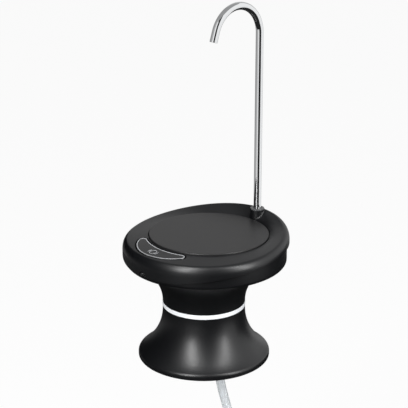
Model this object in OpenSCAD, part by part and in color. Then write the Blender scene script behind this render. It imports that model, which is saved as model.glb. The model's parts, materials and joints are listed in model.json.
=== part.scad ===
// Electric water jug pump: a black bell skirt, a white band, a flared waist and a round head.
// Millimetres, +Z up, origin on the waist's axis at the skirt's rim, control key towards -Y.

/* [Skirt and waist] */
// Radius of the waist, where the white band sits
waist_r = 43.3; // [40:0.1:48]
// Widest radius of the skirt's lip
flange_r = 69.4; // [64:0.1:76]
// Height of the skirt up to the white band
skirt_h = 57.1; // [54:0.1:66]
// Height of the lip's top edge
lip_h = 4.2; // [3:0.1:4.8]
// Share of the bell's curve that is hollow, the rest is the round of the lip
bell_share = 0.94; // [0.8:0.01:0.95]
// Thickness of the moulded walls
wall = 2.4; // [2:0.1:3]
// Height of the white band
ring_h = 4.7; // [3:0.1:7]
// How far the white band stands proud of the waist
ring_proud = 0.2; // [0:0.05:0.6]

/* [Jug neck] */
// Bore radius of the soft sleeve that grips a 55 mm neck
sleeve_bore_r = 27.8; // [26:0.1:29]
// Outer radius of the soft sleeve
sleeve_r = 33; // [31:0.1:34]
// Thickness of the flat gasket on the jug's rim
gasket_h = 3; // [2:0.1:4]
// Thickness of the skirt's top web
web_h = 7; // [6:0.1:9]

/* [Lower shell] */
// Radius of the flare from the waist to the head
flare_r = 44.6; // [42:0.1:48]
// How far the top shell laps over the bowl under the head
shell_lap = 2.5; // [2.1:0.1:3.7]
// Rounding of the bowl's bottom edge
bowl_edge_r = 4.5; // [3:0.1:6]
// Thickness of the floor in the waist
waist_floor = 3; // [2.4:0.1:4]
// Height of the seam above the bowl's bottom, at the front
seam_front_h = 4.4; // [3:0.1:5]
// Height of the seam above the bowl's bottom, over the axis
seam_mid_h = 17.9; // [16:0.1:19]
// Height of the seam above the bowl's bottom, at the back
seam_back_h = 22; // [20:0.1:23]
// Gap that shows as the seam between the shells
seam_gap = 0.3; // [0.2:0.05:0.6]

/* [Top shell] */
// Outer radius of the top shell
head_r = 86.6; // [80:0.1:94]
// How far the head's centre lies behind the waist's axis
head_dy = 2.8; // [1.6:0.1:3]
// Height of the rim above the bowl's bottom, at the front
rim_front_h = 25.6; // [24:0.1:30]
// How much higher the rim is at the back
rim_rise = 13.3; // [9:0.1:16]
// How late the rim rises towards the back
rim_power = 2.6; // [1.6:0.1:3.2]
// Width of the rim's rounding at the front, where the wall leans in
edge_front_r = 4.6; // [2:0.1:5]
// Height of that rounding at the front
edge_front_h = 11; // [6:0.1:13]
// Width of the rim's rounding at the back, a full lip
edge_back_r = 6.6; // [5:0.1:9]
// Height of the rim's rounding at the back
edge_back_h = 8.4; // [6:0.1:8.6]

/* [Tray] */
// Width of the deck round the tray plate, at the side
deck_w = 24.2; // [24:0.1:27]
// How far the tray's centre lies behind the axis
tray_dy = 7; // [6:0.1:7.1]
// Height of the tray's top above the bowl's bottom
tray_top_h = 29.8; // [29:0.1:31]
// Height of the tray plate over its rim
tray_h = 3.5; // [3:0.1:4]
// Thickness of the tray plate's top
tray_plate_t = 2; // [1.6:0.1:2.4]
// How far the tray stands proud of the dish's edge
tray_proud = 1.7; // [1:0.1:2.4]
// Gap round the tray plate
tray_gap = 0.5; // [0.3:0.05:0.8]

/* [Spout] */
// Outer diameter of the steel spout
spout_d = 8; // [6:0.1:9]
// Wall of the steel spout
spout_wall = 0.5; // [0.4:0.05:1]
// Distance of the spout from the head's back
spout_inset = 11.7; // [11.2:0.1:11.8]
// Total height of the object above the skirt's rim
total_h = 370; // [300:1:420]
// Centre line radius of the gooseneck
bend_r = 31.5; // [20:0.5:34]
// Angle of the gooseneck's bend
bend_angle = 162; // [120:1:180]
// Straight length after the bend
spout_end = 11; // [4:0.5:30]
// Radius of the boss that holds the spout
boss_r = 7.5; // [7:0.1:7.6]
// How far the flange on the boss lies above the rim
boss_lift = 0.15; // [0.1:0.05:3]
// Depth of the spout in its socket
spout_depth = 21; // [16:0.5:22]

/* [Control key] */
// Distance of the key from the dish's edge
key_inset = 2.2; // [1.6:0.1:2.6]
// Width of the crescent in the middle
key_w = 18.4; // [16:0.1:18.8]
// Width of the crescent at its blunt ends
key_end_w = 7.2; // [4:0.1:8]
// Half angle of the crescent about the tray's centre
key_half_angle = 30.5; // [28:0.5:32]
// How far the crescent is turned about the tray's centre
key_turn = -3.5; // [-6:0.5:6]
// Gap round the key
key_gap = 0.6; // [0.3:0.05:0.6]
// Travel of the key
key_travel = 0.8; // [0.5:0.05:1]
// Width of the silver line on the key
outline_w = 0.8; // [0.6:0.05:1.6]
// Inset of the silver line from the key's edge
outline_inset = 0.7; // [0.4:0.05:1.5]

/* [Charging port] */
// Width of the charging socket
port_w = 9; // [8:0.1:10]
// Height of the charging socket
port_h = 3.2; // [2.6:0.1:3.4]
// Depth of the charging socket
port_depth = 7.3; // [6:0.1:8]

/* [Pump] */
// Radius of the motor's can
motor_r = 12.2; // [11.6:0.1:13]
// Length of the motor's can
motor_h = 28; // [26:0.5:29]
// Radius of the pump head
pump_r = 14; // [13.6:0.1:14.6]
// Distance of the motor in front of the axis
pump_y = 18; // [16:0.5:19]
// Radius of the inner hoses
tube_r = 4; // [3.6:0.1:4.2]
// Radius of the hose barbs
barb_r = 2.5; // [2.2:0.1:2.8]

/* [Battery] */
// Diameter of a cell
cell_d = 16.5; // [14:0.1:17]
// Length of a cell
cell_l = 65; // [50:0.5:66]
// Distance of the cells from the middle plane
cell_x = 45; // [42:0.5:48]

/* [Suction hose] */
// Outer diameter of the suction hose
hose_d = 9.4; // [8:0.1:10]

/* [Hidden] */
$fn = 96;

// Clearances
eps = 0.01;
fit_gap = 0.05;
run_gap = 0.1;
seat_gap = 0.2;
clear_gap = 0.3;

// Heights and radii that follow from the sizes above
ring_top = skirt_h + ring_h;
floor_top = ring_top + waist_floor;
flare_cr = waist_r + flare_r;
bowl_r = head_r - shell_lap;
bowl_base_r = bowl_r - bowl_edge_r;
bowl_in_r = bowl_r - wall;
flare_step = 1;
flare_end_r = bowl_base_r - head_dy - flare_step;
bowl_z = ring_top + sqrt(pow(flare_r, 2) - pow(flare_cr - flare_end_r, 2));
flare_in_r = flare_r + wall;
flare_in_end_r = flare_end_r - wall;
flare_in_end = acos((flare_cr - flare_in_end_r) / flare_in_r);
chassis_z = bowl_z + wall + seat_gap;
chassis_t = 2;
deck_z = chassis_z + chassis_t;
tray_top = bowl_z + tray_top_h;
dish_z = tray_top - tray_proud;
pan_z = tray_top - tray_h - run_gap;
ceiling = pan_z - wall;
tray_r = head_r - deck_w;
recess_r = tray_r + tray_gap;
rim_front_z = bowl_z + rim_front_h;
socket_flange_h = 1.5;
boss_top = rim_front_z + rim_rise + boss_lift + socket_flange_h;

// Bell of the skirt: a hollow arc that runs into the round of the lip
bell_straight = 2.8;
bell_top = skirt_h - bell_straight;
bell_dr = flange_r - waist_r;
bell_dz = bell_top - lip_h;
bell_sweep = 2 * atan(bell_dr / bell_dz);
bell_sum = bell_dz / sin(bell_sweep);
bell_hollow_r = bell_sum * bell_share;
bell_round_r = bell_sum - bell_hollow_r;
lip_in = 2;
web_z = skirt_h - web_h;
collar_r = sleeve_r + fit_gap;
arc_steps = 20;

// Arched seam between the shells: a circle through three heights
seam_z = bowl_z + seam_mid_h;
seam_f = bowl_z + seam_front_h - seam_z;
seam_b = bowl_z + seam_back_h - seam_z;
seam_k = (seam_f + seam_b) / (2 * pow(bowl_r, 2));
seam_slope = (seam_b - seam_f) / (2 * bowl_r);
seam_r = pow(1 + pow(seam_slope, 2), 1.5) / abs(2 * seam_k);
seam_cy = seam_r * seam_slope / sqrt(1 + pow(seam_slope, 2));
seam_cz = seam_z - seam_r / sqrt(1 + pow(seam_slope, 2));

// Key on the front of the deck, which is a cone about the tray's centre
key_in_r = recess_r + key_inset;
key_y = tray_dy - key_in_r - key_w / 2;
deck_front_y = head_dy - head_r + edge_front_r;
deck_slope = (dish_z - rim_front_z) / (tray_dy - recess_r - deck_front_y);
key_z = dish_z + deck_slope * (key_y - tray_dy + recess_r);
key_plate_t = 2.2;
key_round = 0.6 * key_end_w;
key_proud = 0.15;
line_proud = 0.2;
stem_r = 3;
carrier_t = 1.5;
carrier_drop = 3;
carrier_rim = 1.2;
carrier_z = ceiling - carrier_drop;
icon_r = 3.9;
icon_w = 0.5;
icon_wave_r = icon_r + 4 * icon_w;
icon_turn = key_turn / 2;

// Control board on the chassis
board_w = 34;
board_t = 1.2;
board_lift = 2;
board_z = deck_z + board_lift;
board_top = board_z + board_t;
port_wall_y = head_dy - head_r;
port_lift = 0.4;
port_z = board_z + board_t / 2 + port_lift;
port_front_y = port_wall_y + 1.2;
port_back_y = port_front_y + port_depth;
board_front_y = port_front_y + 6;
board_back_y = key_y + 13;
board_screw_x = board_w / 2 - 3;
board_screw_y = board_back_y - 5;
switch_w = 6;
switch_h = 3.6;
plunger_r = 1.7;
plunger_h = 3;
plunger_in = 1;
plunger_foot = board_top + switch_h - plunger_in;
plunger_top = plunger_foot + plunger_h;

// Motor and pump stack, one on another
boot_h = 9;
boot_floor = 2;
endcap_h = 2;
endcap_z = floor_top + boot_floor;
motor_z = endcap_z + endcap_h;
base_z = motor_z + motor_h;
base_h = 11;
diaphragm_t = 1.6;
valve_t = 3;
cover_h = 10.4;
diaphragm_z = base_z + base_h;
valve_z = diaphragm_z + diaphragm_t;
cover_z = valve_z + valve_t;
barb_z = cover_z + 5.9;
barb_bore = 1.6;
shaft_r = 1;
shaft_top = base_z + 5;
can_t = 1;
pump_screw_r = pump_r - 2.2;
m2_r = 1;
m3_r = 1.5;
screw_pilot = 0.3;

// Inlet: fitting through the waist's floor, riser with an elbow, soft sleeve
inlet_x = 14;
inlet_y = 4;
inlet_reach = norm([inlet_x, inlet_y + pump_y]);
inlet_turn = atan2(inlet_x, inlet_y + pump_y);
inlet_r = 5;
inlet_flange_r = 7.5;
inlet_flange_h = 2;
inlet_bore = 2.4;
nut_h = 3.8;
nut_r = 8;
stub_l = 3;
inlet_clear_r = nut_r + norm([inlet_x, inlet_y]) + clear_gap;
hose_top = 44;
elbow_r = 6;
riser_r = 4;

// Screw places
back_post = [0, tray_dy] + (recess_r - 11.9) * [cos(62), sin(62)];
front_post = [0, tray_dy] + (recess_r - 5.8) * [cos(57), -sin(57)];
housing_posts = [for (p = [back_post, front_post], side = [1, -1]) [side * p.x, p.y]];
post_r = 4;
csk_r = 2.9;
csk_h = 1.5;
housing_screw_l = 16;
base_screw_r = 29;
base_screw_n = 4;
base_head_r = 2.6;
base_head_h = 2.6;

// Spout
spout_r = spout_d / 2;
spout_y = head_dy + head_r - spout_inset;
spout_foot = boss_top - spout_depth;
bend_z = total_h - spout_r - bend_r;
socket_r = 6;
socket_low_r = 5;
socket_floor = barb_z - 4;
oring_r = 0.6;
groove_h = 2;
groove_r = spout_r + 1.3;
groove_z = [boss_top - 7, boss_top - 14];

// Battery
cell_r = cell_d / 2;
cradle_t = 1;
cell_z = deck_z + cradle_t + cell_r;
cradle_w = cell_d + 4;
cradle_l = cell_l - 8;
cradle_h = 8;

// Wires, 8-sided, along hand-chosen points from the cells and the motor to the board
wire_d = 1.6;
wire_r = wire_d / 2;
wire_slot = [-26, -22];
wire_slot_r = 4;
cell_end_y = -cell_l / 2 - wire_r;
lead_end_y = board_back_y - 1.4;
lead_side = [
    [cell_x, cell_end_y, cell_z], [cell_x - 2, cell_end_y - 3, cell_z - 1],
    [front_post.x + 9, front_post.y - 0.4, cell_z - 2.5],
    [front_post.x + 4, front_post.y - 5.4, cell_z - 4.5],
    [front_post.x - 4, front_post.y - 9.9, board_top + 2.4], [20, board_back_y + 1, board_top + 1.4],
    [10, lead_end_y, board_top + wire_r]
];
lead_motor = [
    [-motor_r - wire_r, -pump_y, motor_z + 15], [-motor_r - 3, -pump_y - 1, motor_z + 19],
    [-20, -20.5, motor_z + 28], [wire_slot.x + 1, wire_slot.y, chassis_z - 4],
    [wire_slot.x, wire_slot.y - 0.5, deck_z], [wire_slot.x + 1, -26, deck_z + 4], [-21, -36, deck_z + 6],
    [-14, -47, deck_z + 5.5], [-8, -53, board_top + 1.6], [-3, lead_end_y, board_top + wire_r]
];

// Route of the suction hose, hand-chosen points
hose_route = [
    [14, 4, 44], [14, 4, 30], [14, 4, 16], [14.5, 5, 0], [16, 7, -20], [18, 10, -40], [21, 14, -60],
    [24, 18, -80], [27, 22, -100], [30, 25, -120], [32, 27, -140], [33, 28, -160], [33, 28, -180],
    [32, 27, -200], [30, 25, -220], [27, 22, -240], [23, 19, -260], [19, 15, -280], [15, 11, -298]
];
hose_sides = 12;
wire_sides = 8;

// Points on an arc about a centre, in a profile
function arc(c, r, a0, a1, n = arc_steps) =
    [for (i = [0 : n]) c + r * [cos(a0 + (a1 - a0) * i / n), sin(a0 + (a1 - a0) * i / n)]];

// Smooth step from 0 to 1 between two values
function ease(a, b, t) = let (u = max(0, min(1, (t - a) / (b - a)))) u * u * (3 - 2 * u);

// One section of the top shell's outside at angle a, from the wall's foot to just past the dish's edge
rim_steps = 7;
rim_turns = 120;
function rim_share(a) = (sin(a) + 1) / 2;
function rim_z(a) = rim_front_z + rim_rise * pow(rim_share(a), rim_power);
function edge_grow(a) = ease(0, 0.42, rim_share(a));
function edge_r(a) = edge_front_r + (edge_back_r - edge_front_r) * edge_grow(a);
function edge_h(a) = edge_front_h + (edge_back_h - edge_front_h) * edge_grow(a);
function dish_point(a) = [recess_r * cos(a), tray_dy + recess_r * sin(a), dish_z];
function head_point(r, z, a) = [r * cos(a), head_dy + r * sin(a), z];
function deck_run(a) = norm(head_point(head_r - edge_r(a), 0, a) - [dish_point(a).x, dish_point(a).y, 0]);
function lip_end(a) = atan2(edge_h(a) * deck_run(a), edge_r(a) * max(0, dish_z - rim_z(a)));
function lip_point(a, k) = let (e = edge_r(a), h = edge_h(a), b = lip_end(a) * k / rim_steps)
    head_point(head_r - e + e * cos(b), rim_z(a) - h + h * sin(b), a);
deck_over = 0.5;
function deck_end(a) = let (d = dish_point(a), run = d - lip_point(a, rim_steps))
    d + run * deck_over / norm([run.x, run.y]);
function head_section(a) = concat([head_point(head_r, bowl_z, a)],
    [for (k = [0 : rim_steps]) lip_point(a, k)], [deck_end(a)]);

// Closed skin over rings of points, with a flat fan at each end
function ring_faces(n, m) = [
    for (i = [0 : n - 1], j = [0 : m - 2], s = [0, 1])
        let (p = i * m + j, q = ((i + 1) % n) * m + j)
        s == 0 ? [p, q + 1, q] : [p, p + 1, q + 1]
];
module ring_solid(rings) {
    n = len(rings);
    m = len(rings[0]);
    points = concat([for (r = rings, p = r) p], [[0, 0, rings[0][0].z], [0, tray_dy, rings[0][m - 1].z]]);
    foot = [for (i = [0 : n - 1]) [n * m, i * m, ((i + 1) % n) * m]];
    top = [for (i = [0 : n - 1]) [n * m + 1, ((i + 1) % n) * m + m - 1, i * m + m - 1]];
    polyhedron(points, concat(ring_faces(n, m), foot, top));
}

// Tube swept along a route, with rings square to it
function unit(v) = v / norm(v);
function heading(p, i) = unit(p[min(i + 1, len(p) - 1)] - p[max(i - 1, 0)]);
module swept_tube(route, d, sides, ref) {
    n = len(route);
    points = [for (i = [0 : n - 1], k = [0 : sides - 1])
        let (t = heading(route, i), u = unit(cross(t, ref)), v = cross(t, u), a = 360 * k / sides)
        route[i] + d / 2 * (u * cos(a) + v * sin(a))];
    skin = [for (i = [0 : n - 2], k = [0 : sides - 1], s = [0, 1])
        let (p = i * sides + k, q = i * sides + (k + 1) % sides)
        s == 0 ? [p, q, q + sides] : [p, q + sides, p + sides]];
    caps = [for (k = [1 : sides - 2], e = [0, 1])
        let (o = e * (n - 1) * sides)
        e == 0 ? [o, o + k + 1, o + k] : [o, o + k, o + k + 1]];
    polyhedron(points, [for (f = concat(skin, caps)) [f[0], f[2], f[1]]]);
}

// Round bar or pipe between two heights
module bar(r, z0, z1) {
    translate([0, 0, z0]) cylinder(h = z1 - z0, r = r);
}
module pipe(ro, ri, z0, z1) {
    difference() {
        bar(ro, z0, z1);
        bar(ri, z0 - 1, z1 + 1);
    }
}

// Solid under the seam's arch, grown by a gap
module under_seam(gap) {
    translate([0, seam_cy, seam_cz])
        rotate([0, 90, 0])
        cylinder(h = 4 * head_r, r = seam_r + gap, center = true, $fn = 360);
}

module at_pump() {
    translate([0, -pump_y, 0]) children();
}
module at_inlet() {
    translate([inlet_x, inlet_y, 0]) children();
}
module at_spout() {
    translate([0, spout_y, 0]) children();
}
module at_head() {
    translate([0, head_dy, 0]) children();
}
module at_key() {
    translate([0, key_y, 0]) children();
}
module at_posts() {
    for (p = housing_posts) translate([p.x, p.y, 0]) children();
}
module at_base_screws() {
    for (i = [0 : base_screw_n - 1]) rotate(45 + 360 * i / base_screw_n)
        translate([base_screw_r, 0, 0]) children();
}
// Frame whose +X points from the pump to the inlet's riser, at the barbs' height
module along_inlet() {
    at_pump() translate([0, 0, barb_z]) rotate(90 - inlet_turn) rotate([0, 90, 0]) children();
}
module along_outlet() {
    at_pump() translate([0, 0, barb_z]) rotate([-90, 0, 0]) children();
}

// Skirt: bell with a rolled lip, top web and inner collar
module skirt() {
    hollow_c = [waist_r + bell_hollow_r, bell_top];
    round_c = [flange_r - bell_round_r, lip_h];
    outside = concat(
        [[waist_r, skirt_h]],
        arc(hollow_c, bell_hollow_r, 180, 180 + bell_sweep),
        arc(round_c, bell_round_r, bell_sweep, 0),
        arc([flange_r - lip_in, lip_in], lip_in, 0, -60, 6),
        [[flange_r - lip_in, 0]]);
    inside = concat(
        [[flange_r - lip_in - wall, 0]],
        arc(round_c, bell_round_r - wall, 0, bell_sweep),
        arc(hollow_c, bell_hollow_r + wall, 180 + bell_sweep, 180));
    color([0.13, 0.13, 0.14]) difference() {
        union() {
            rotate_extrude() polygon(concat(outside, inside, [[waist_r - wall, skirt_h]]));
            pipe(waist_r - eps, inlet_clear_r, web_z, skirt_h);
        }
        at_base_screws() {
            bar(m3_r + screw_pilot, 0, skirt_h + 1);
            bar(base_head_r + clear_gap, 0, web_z + base_head_h + clear_gap);
        }
    }
}

// Collar under the skirt's web that backs the soft sleeve
module neck_collar() {
    color([0.13, 0.13, 0.14]) pipe(collar_r + wall, collar_r, 0, web_z);
}

// Soft sleeve with three inner lips that grips the jug's neck
module neck_sleeve() {
    top = web_z - gasket_h;
    lip = 0.8;
    color([0.75, 0.76, 0.78]) rotate_extrude() polygon(concat(
        [[sleeve_r, 0], [sleeve_r, top], [sleeve_bore_r + lip, top]],
        [for (z = [top * 0.75, top * 0.5, top * 0.25], p = [[lip, 2], [0, 0.5], [0, -0.5], [lip, -2]])
            [sleeve_bore_r + p.x, z + p.y]],
        [[sleeve_bore_r + lip, 0]]));
}

module jug_gasket() {
    color([0.8, 0.8, 0.82]) pipe(sleeve_r, inlet_clear_r, web_z - gasket_h, web_z);
}

// White band, a spacer between the skirt and the lower shell
module trim_ring() {
    edge = 0.5;
    ro = waist_r + ring_proud;
    color([0.93, 0.94, 0.96]) difference() {
        rotate_extrude() polygon(concat(
            [[inlet_clear_r, skirt_h], [ro - edge, skirt_h]],
            arc([ro - edge, skirt_h + edge], edge, -90, 0, 4),
            arc([ro - edge, ring_top - edge], edge, 0, 90, 4),
            [[inlet_clear_r, ring_top]]));
        at_base_screws() bar(m3_r + screw_pilot, 0, ring_top + 1);
    }
}

// Outline of the waist and of the bowl round the head's centre, and of the space inside them
module lower_outside() {
    rotate_extrude() polygon(concat(
        [[0, ring_top]],
        arc([flare_cr, ring_top], flare_r, 180, 180 - acos((flare_cr - flare_end_r) / flare_r), 28),
        [[flare_end_r, bowl_z + eps], [0, bowl_z + eps]]));
    at_head() rotate_extrude() polygon(concat(
        [[0, bowl_z]],
        arc([bowl_base_r, bowl_z + bowl_edge_r], bowl_edge_r, -90, 0, 8),
        [[bowl_r, rim_front_z], [0, rim_front_z]]));
}
module lower_inside() {
    rotate_extrude() polygon(concat(
        [[0, floor_top]],
        arc([flare_cr, ring_top], flare_in_r, 180 - asin(waist_floor / flare_in_r), 180 - flare_in_end, 28),
        [[flare_in_end_r, bowl_z + wall + eps], [0, bowl_z + wall + eps]]));
    at_head() bar(bowl_in_r, bowl_z + wall, rim_front_z + 1);
}

// Lower shell: waist, bowl, floor and the four posts for the housing screws
module lower_shell() {
    color([0.1, 0.1, 0.11]) difference() {
        union() {
            intersection() {
                difference() {
                    lower_outside();
                    lower_inside();
                }
                under_seam(0);
            }
            intersection() {
                difference() {
                    at_posts() bar(post_r, ring_top, ceiling);
                    at_posts() bar(m3_r - screw_pilot, ceiling - housing_screw_l, ceiling + 1);
                }
                lower_post_space();
            }
        }
        at_inlet() bar(inlet_r + seat_gap, ring_top - 1, floor_top + 1);
        at_base_screws() bar(m3_r - screw_pilot, ring_top - 1, floor_top + 1);
    }
}
// Space that the posts may fill: inside the outer skin, up to the ceiling
module lower_post_space() {
    rotate_extrude() polygon(concat(
        [[0, ring_top]],
        arc([flare_cr, ring_top], flare_r + wall / 2, 180, 180 - flare_in_end, 28),
        [[flare_in_end_r, ceiling], [0, ceiling]]));
}

// Crescent outline of the key with blunt ends, grown by an offset
module crescent(grow) {
    n = 24;
    turns = [for (i = [-n : n]) i / n];
    outer = [for (t = turns)
        let (r = key_in_r + key_end_w + (key_w - key_end_w) * (1 - t * t), a = key_turn + key_half_angle * t)
        [r * sin(a), -r * cos(a)]];
    inner = [for (i = [0 : 2 * n])
        let (a = key_turn - key_half_angle * turns[i])
        key_in_r * [sin(a), -cos(a)]];
    translate([0, tray_dy])
        offset(r = key_round + grow, $fn = 32)
        offset(delta = -key_round)
        polygon(concat(outer, inner));
}
// Layer of the deck's cone between two heights over it, cut to the crescent
module key_layer(grow, low, high) {
    r0 = recess_r;
    r1 = key_in_r + key_w + key_inset;
    drop = deck_slope * (r1 - r0);
    intersection() {
        translate([0, 0, carrier_z]) linear_extrude(boss_top - carrier_z) crescent(grow);
        translate([0, tray_dy, dish_z]) rotate_extrude()
            polygon([[r0, low], [r1, low - drop], [r1, high - drop], [r0, high]]);
    }
}

// Top shell: curved rim, deck and dish over a hollow, with the boss for the spout
module top_shell() {
    pocket_r = recess_r + tray_dy - head_dy + wall + 1;
    pocket_slope = 0.11;
    pocket_low = 20.7;
    color([0.2, 0.2, 0.21]) difference() {
        union() {
            difference() {
                ring_solid([for (i = [0 : rim_turns - 1]) head_section(360 * i / rim_turns)]);
                under_seam(seam_gap);
                at_head() bar(bowl_in_r, 0, ceiling);
                translate([0, tray_dy, 0]) rotate(180 / rim_turns) bar(recess_r, pan_z, boss_top);
                difference() {
                    intersection() {
                        at_head() pipe(bowl_in_r, pocket_r, ceiling - 1, boss_top);
                        translate([0, 0, bowl_z + pocket_low])
                            rotate([atan(pocket_slope), 0, 0])
                            translate([-2 * head_r, -2 * head_r, -head_r])
                            cube([4 * head_r, 4 * head_r, head_r]);
                    }
                    at_spout() bar(boss_r, 0, boss_top);
                }
            }
            at_spout() bar(boss_r, ceiling, boss_top - socket_flange_h);
        }
        at_spout() bar(socket_r + fit_gap, 0, boss_top);
        translate([0, 0, ceiling - 1]) linear_extrude(boss_top - ceiling) crescent(key_gap);
        port_slot();
        at_posts() {
            bar(m3_r + screw_pilot, 0, pan_z + 1);
            translate([0, 0, pan_z - csk_h])
                cylinder(h = csk_h + eps, r1 = m3_r + screw_pilot, r2 = csk_r + screw_pilot);
        }
    }
}
// Slot with round ends for the charging socket
module port_slot() {
    r = port_h / 2 + clear_gap;
    span = port_w / 2 - port_h / 2;
    translate([0, port_wall_y - 2, port_z]) rotate([-90, 0, 0]) {
        for (x = [-span, span]) translate([x, 0, 0]) cylinder(h = 10, r = r);
        translate([-span, -r, 0]) cube([2 * span, 2 * r, 10]);
    }
}

// Tray plate: shallow inverted dish that stands on the pan
module tray_plate() {
    edge = 0.8;
    rim_w = 2.2;
    foot = pan_z + run_gap;
    color([0.29, 0.29, 0.3]) translate([0, tray_dy, 0]) rotate_extrude() polygon(concat(
        [[0, tray_top]],
        arc([tray_r - edge, tray_top - edge], edge, 90, 0, 5),
        [[tray_r, foot], [tray_r - rim_w, foot], [tray_r - rim_w, tray_top - tray_plate_t],
            [0, tray_top - tray_plate_t]]));
}

// Key with its stem, pressed straight down
module control_key() {
    color([0.22, 0.23, 0.24]) {
        key_layer(0, key_proud - key_plate_t, key_proud);
        at_key() bar(stem_r, plunger_top, key_z - key_plate_t / 2);
    }
}
module key_outline() {
    color([0.78, 0.79, 0.81]) difference() {
        key_layer(-outline_inset, key_proud, key_proud + line_proud);
        translate([0, 0, ceiling]) linear_extrude(boss_top - ceiling) crescent(-outline_inset - outline_w);
    }
}
// Generic ring mark in the middle of the crescent
module key_icon() {
    color([0.7, 0.71, 0.73]) intersection() {
        key_layer(-outline_inset, key_proud, key_proud + line_proud);
        translate([0, tray_dy, 0]) rotate(icon_turn) translate([0, key_y - tray_dy, 0]) {
            pipe(icon_r, icon_r - icon_w, ceiling, boss_top);
            intersection() {
                pipe(icon_wave_r, icon_wave_r - icon_w, ceiling, boss_top);
                for (side = [0, 180]) rotate(side) translate([0, 0, ceiling])
                    linear_extrude(boss_top - ceiling)
                    polygon([[0, 0], [2 * icon_wave_r, -icon_wave_r], [2 * icon_wave_r, icon_wave_r]]);
            }
        }
    }
}
// Cup under the deck that guides the key's stem
module key_carrier() {
    color([0.3, 0.3, 0.32]) difference() {
        intersection() {
            translate([0, 0, carrier_z - carrier_t])
                linear_extrude(carrier_t + carrier_drop)
                crescent(key_gap + clear_gap + carrier_rim);
            at_head() bar(bowl_in_r - clear_gap, 0, ceiling);
        }
        translate([0, 0, carrier_z]) linear_extrude(carrier_drop + 1) crescent(key_gap + clear_gap);
        at_key() bar(stem_r + run_gap, 0, ceiling);
    }
}

// Socket in the boss: flange, ring grooves, and an elbow with a barb towards the pump
module spout_socket() {
    barb_l = 16;
    color([0.42, 0.43, 0.45]) difference() {
        union() {
            at_spout() bar(boss_r, boss_top - socket_flange_h, boss_top);
            at_spout() bar(socket_r, ceiling, boss_top);
            at_spout() bar(socket_low_r, socket_floor, ceiling + eps);
            translate([0, spout_y, barb_z]) rotate([90, 0, 0]) cylinder(h = barb_l, r = barb_r);
        }
        at_spout() bar(spout_r + run_gap, spout_foot - seat_gap, boss_top + 1);
        at_spout() bar(2, barb_z, spout_foot);
        for (z = groove_z) at_spout() bar(groove_r, z - groove_h / 2, z + groove_h / 2);
        translate([0, spout_y, barb_z]) rotate([90, 0, 0]) cylinder(h = barb_l + 1, r = barb_bore);
    }
}
module spout_orings() {
    color([0.15, 0.15, 0.16]) for (z = groove_z)
        translate([0, spout_y, z]) rotate_extrude() translate([spout_r + fit_gap + oring_r, 0])
        circle(oring_r, $fn = 32);
}

// Steel gooseneck: straight, bent over towards the tray, short straight end with a dressed rim
module spout_tube() {
    bore = spout_r - spout_wall;
    dress = 0.03;
    color([0.82, 0.83, 0.85]) {
        at_spout() pipe(spout_r, bore, spout_foot, bend_z);
        translate([0, spout_y - bend_r, bend_z]) rotate([0, 0, 90]) rotate([90, 0, 0]) {
            rotate_extrude(angle = bend_angle) translate([bend_r, 0]) difference() {
                circle(spout_r);
                circle(bore);
            }
            rotate(bend_angle) translate([bend_r, 0, 0]) rotate([-90, 0, 0])
                pipe(spout_r + dress, bore - dress, -eps, spout_end);
        }
    }
}

// Inner floor with holes for the posts, the pump and the riser
module chassis_plate() {
    color([0.55, 0.56, 0.58]) difference() {
        at_head() bar(bowl_in_r - clear_gap, chassis_z, deck_z);
        at_posts() bar(post_r + clear_gap, 0, deck_z + 1);
        at_pump() bar(pump_r + seat_gap, 0, deck_z + 1);
        at_inlet() bar(riser_r + seat_gap, 0, deck_z + 1);
        translate([wire_slot.x, wire_slot.y, 0]) bar(wire_slot_r, 0, deck_z + 1);
    }
}
module housing_screws() {
    color([0.6, 0.61, 0.63]) at_posts() {
        translate([0, 0, pan_z - csk_h]) cylinder(h = csk_h, r1 = m3_r, r2 = csk_r);
        bar(m3_r - screw_pilot, pan_z + 1 - housing_screw_l, pan_z - csk_h + eps);
    }
}
module base_screws() {
    head_z = skirt_h - web_h + clear_gap;
    color([0.6, 0.61, 0.63]) at_base_screws() {
        bar(base_head_r, head_z, head_z + base_head_h);
        bar(m3_r - screw_pilot, head_z, floor_top - seat_gap);
    }
}

module at_cells() {
    for (s = [-1, 1]) translate([s * cell_x, 0, cell_z]) rotate([90, 0, 0]) children();
}
module battery_cradles() {
    color([0.35, 0.36, 0.38]) difference() {
        for (s = [-1, 1]) translate([s * cell_x - cradle_w / 2, -cradle_l / 2, deck_z])
            cube([cradle_w, cradle_l, cradle_h]);
        at_cells() cylinder(h = cell_l + 2, r = cell_r + fit_gap, center = true);
    }
}
module battery_cells() {
    cap_r = 3;
    cap_h = 1;
    color([0.25, 0.45, 0.7]) at_cells() {
        cylinder(h = cell_l - 2 * cap_h, r = cell_r, center = true);
        cylinder(h = cell_l, r = cap_r, center = true);
    }
}

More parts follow.
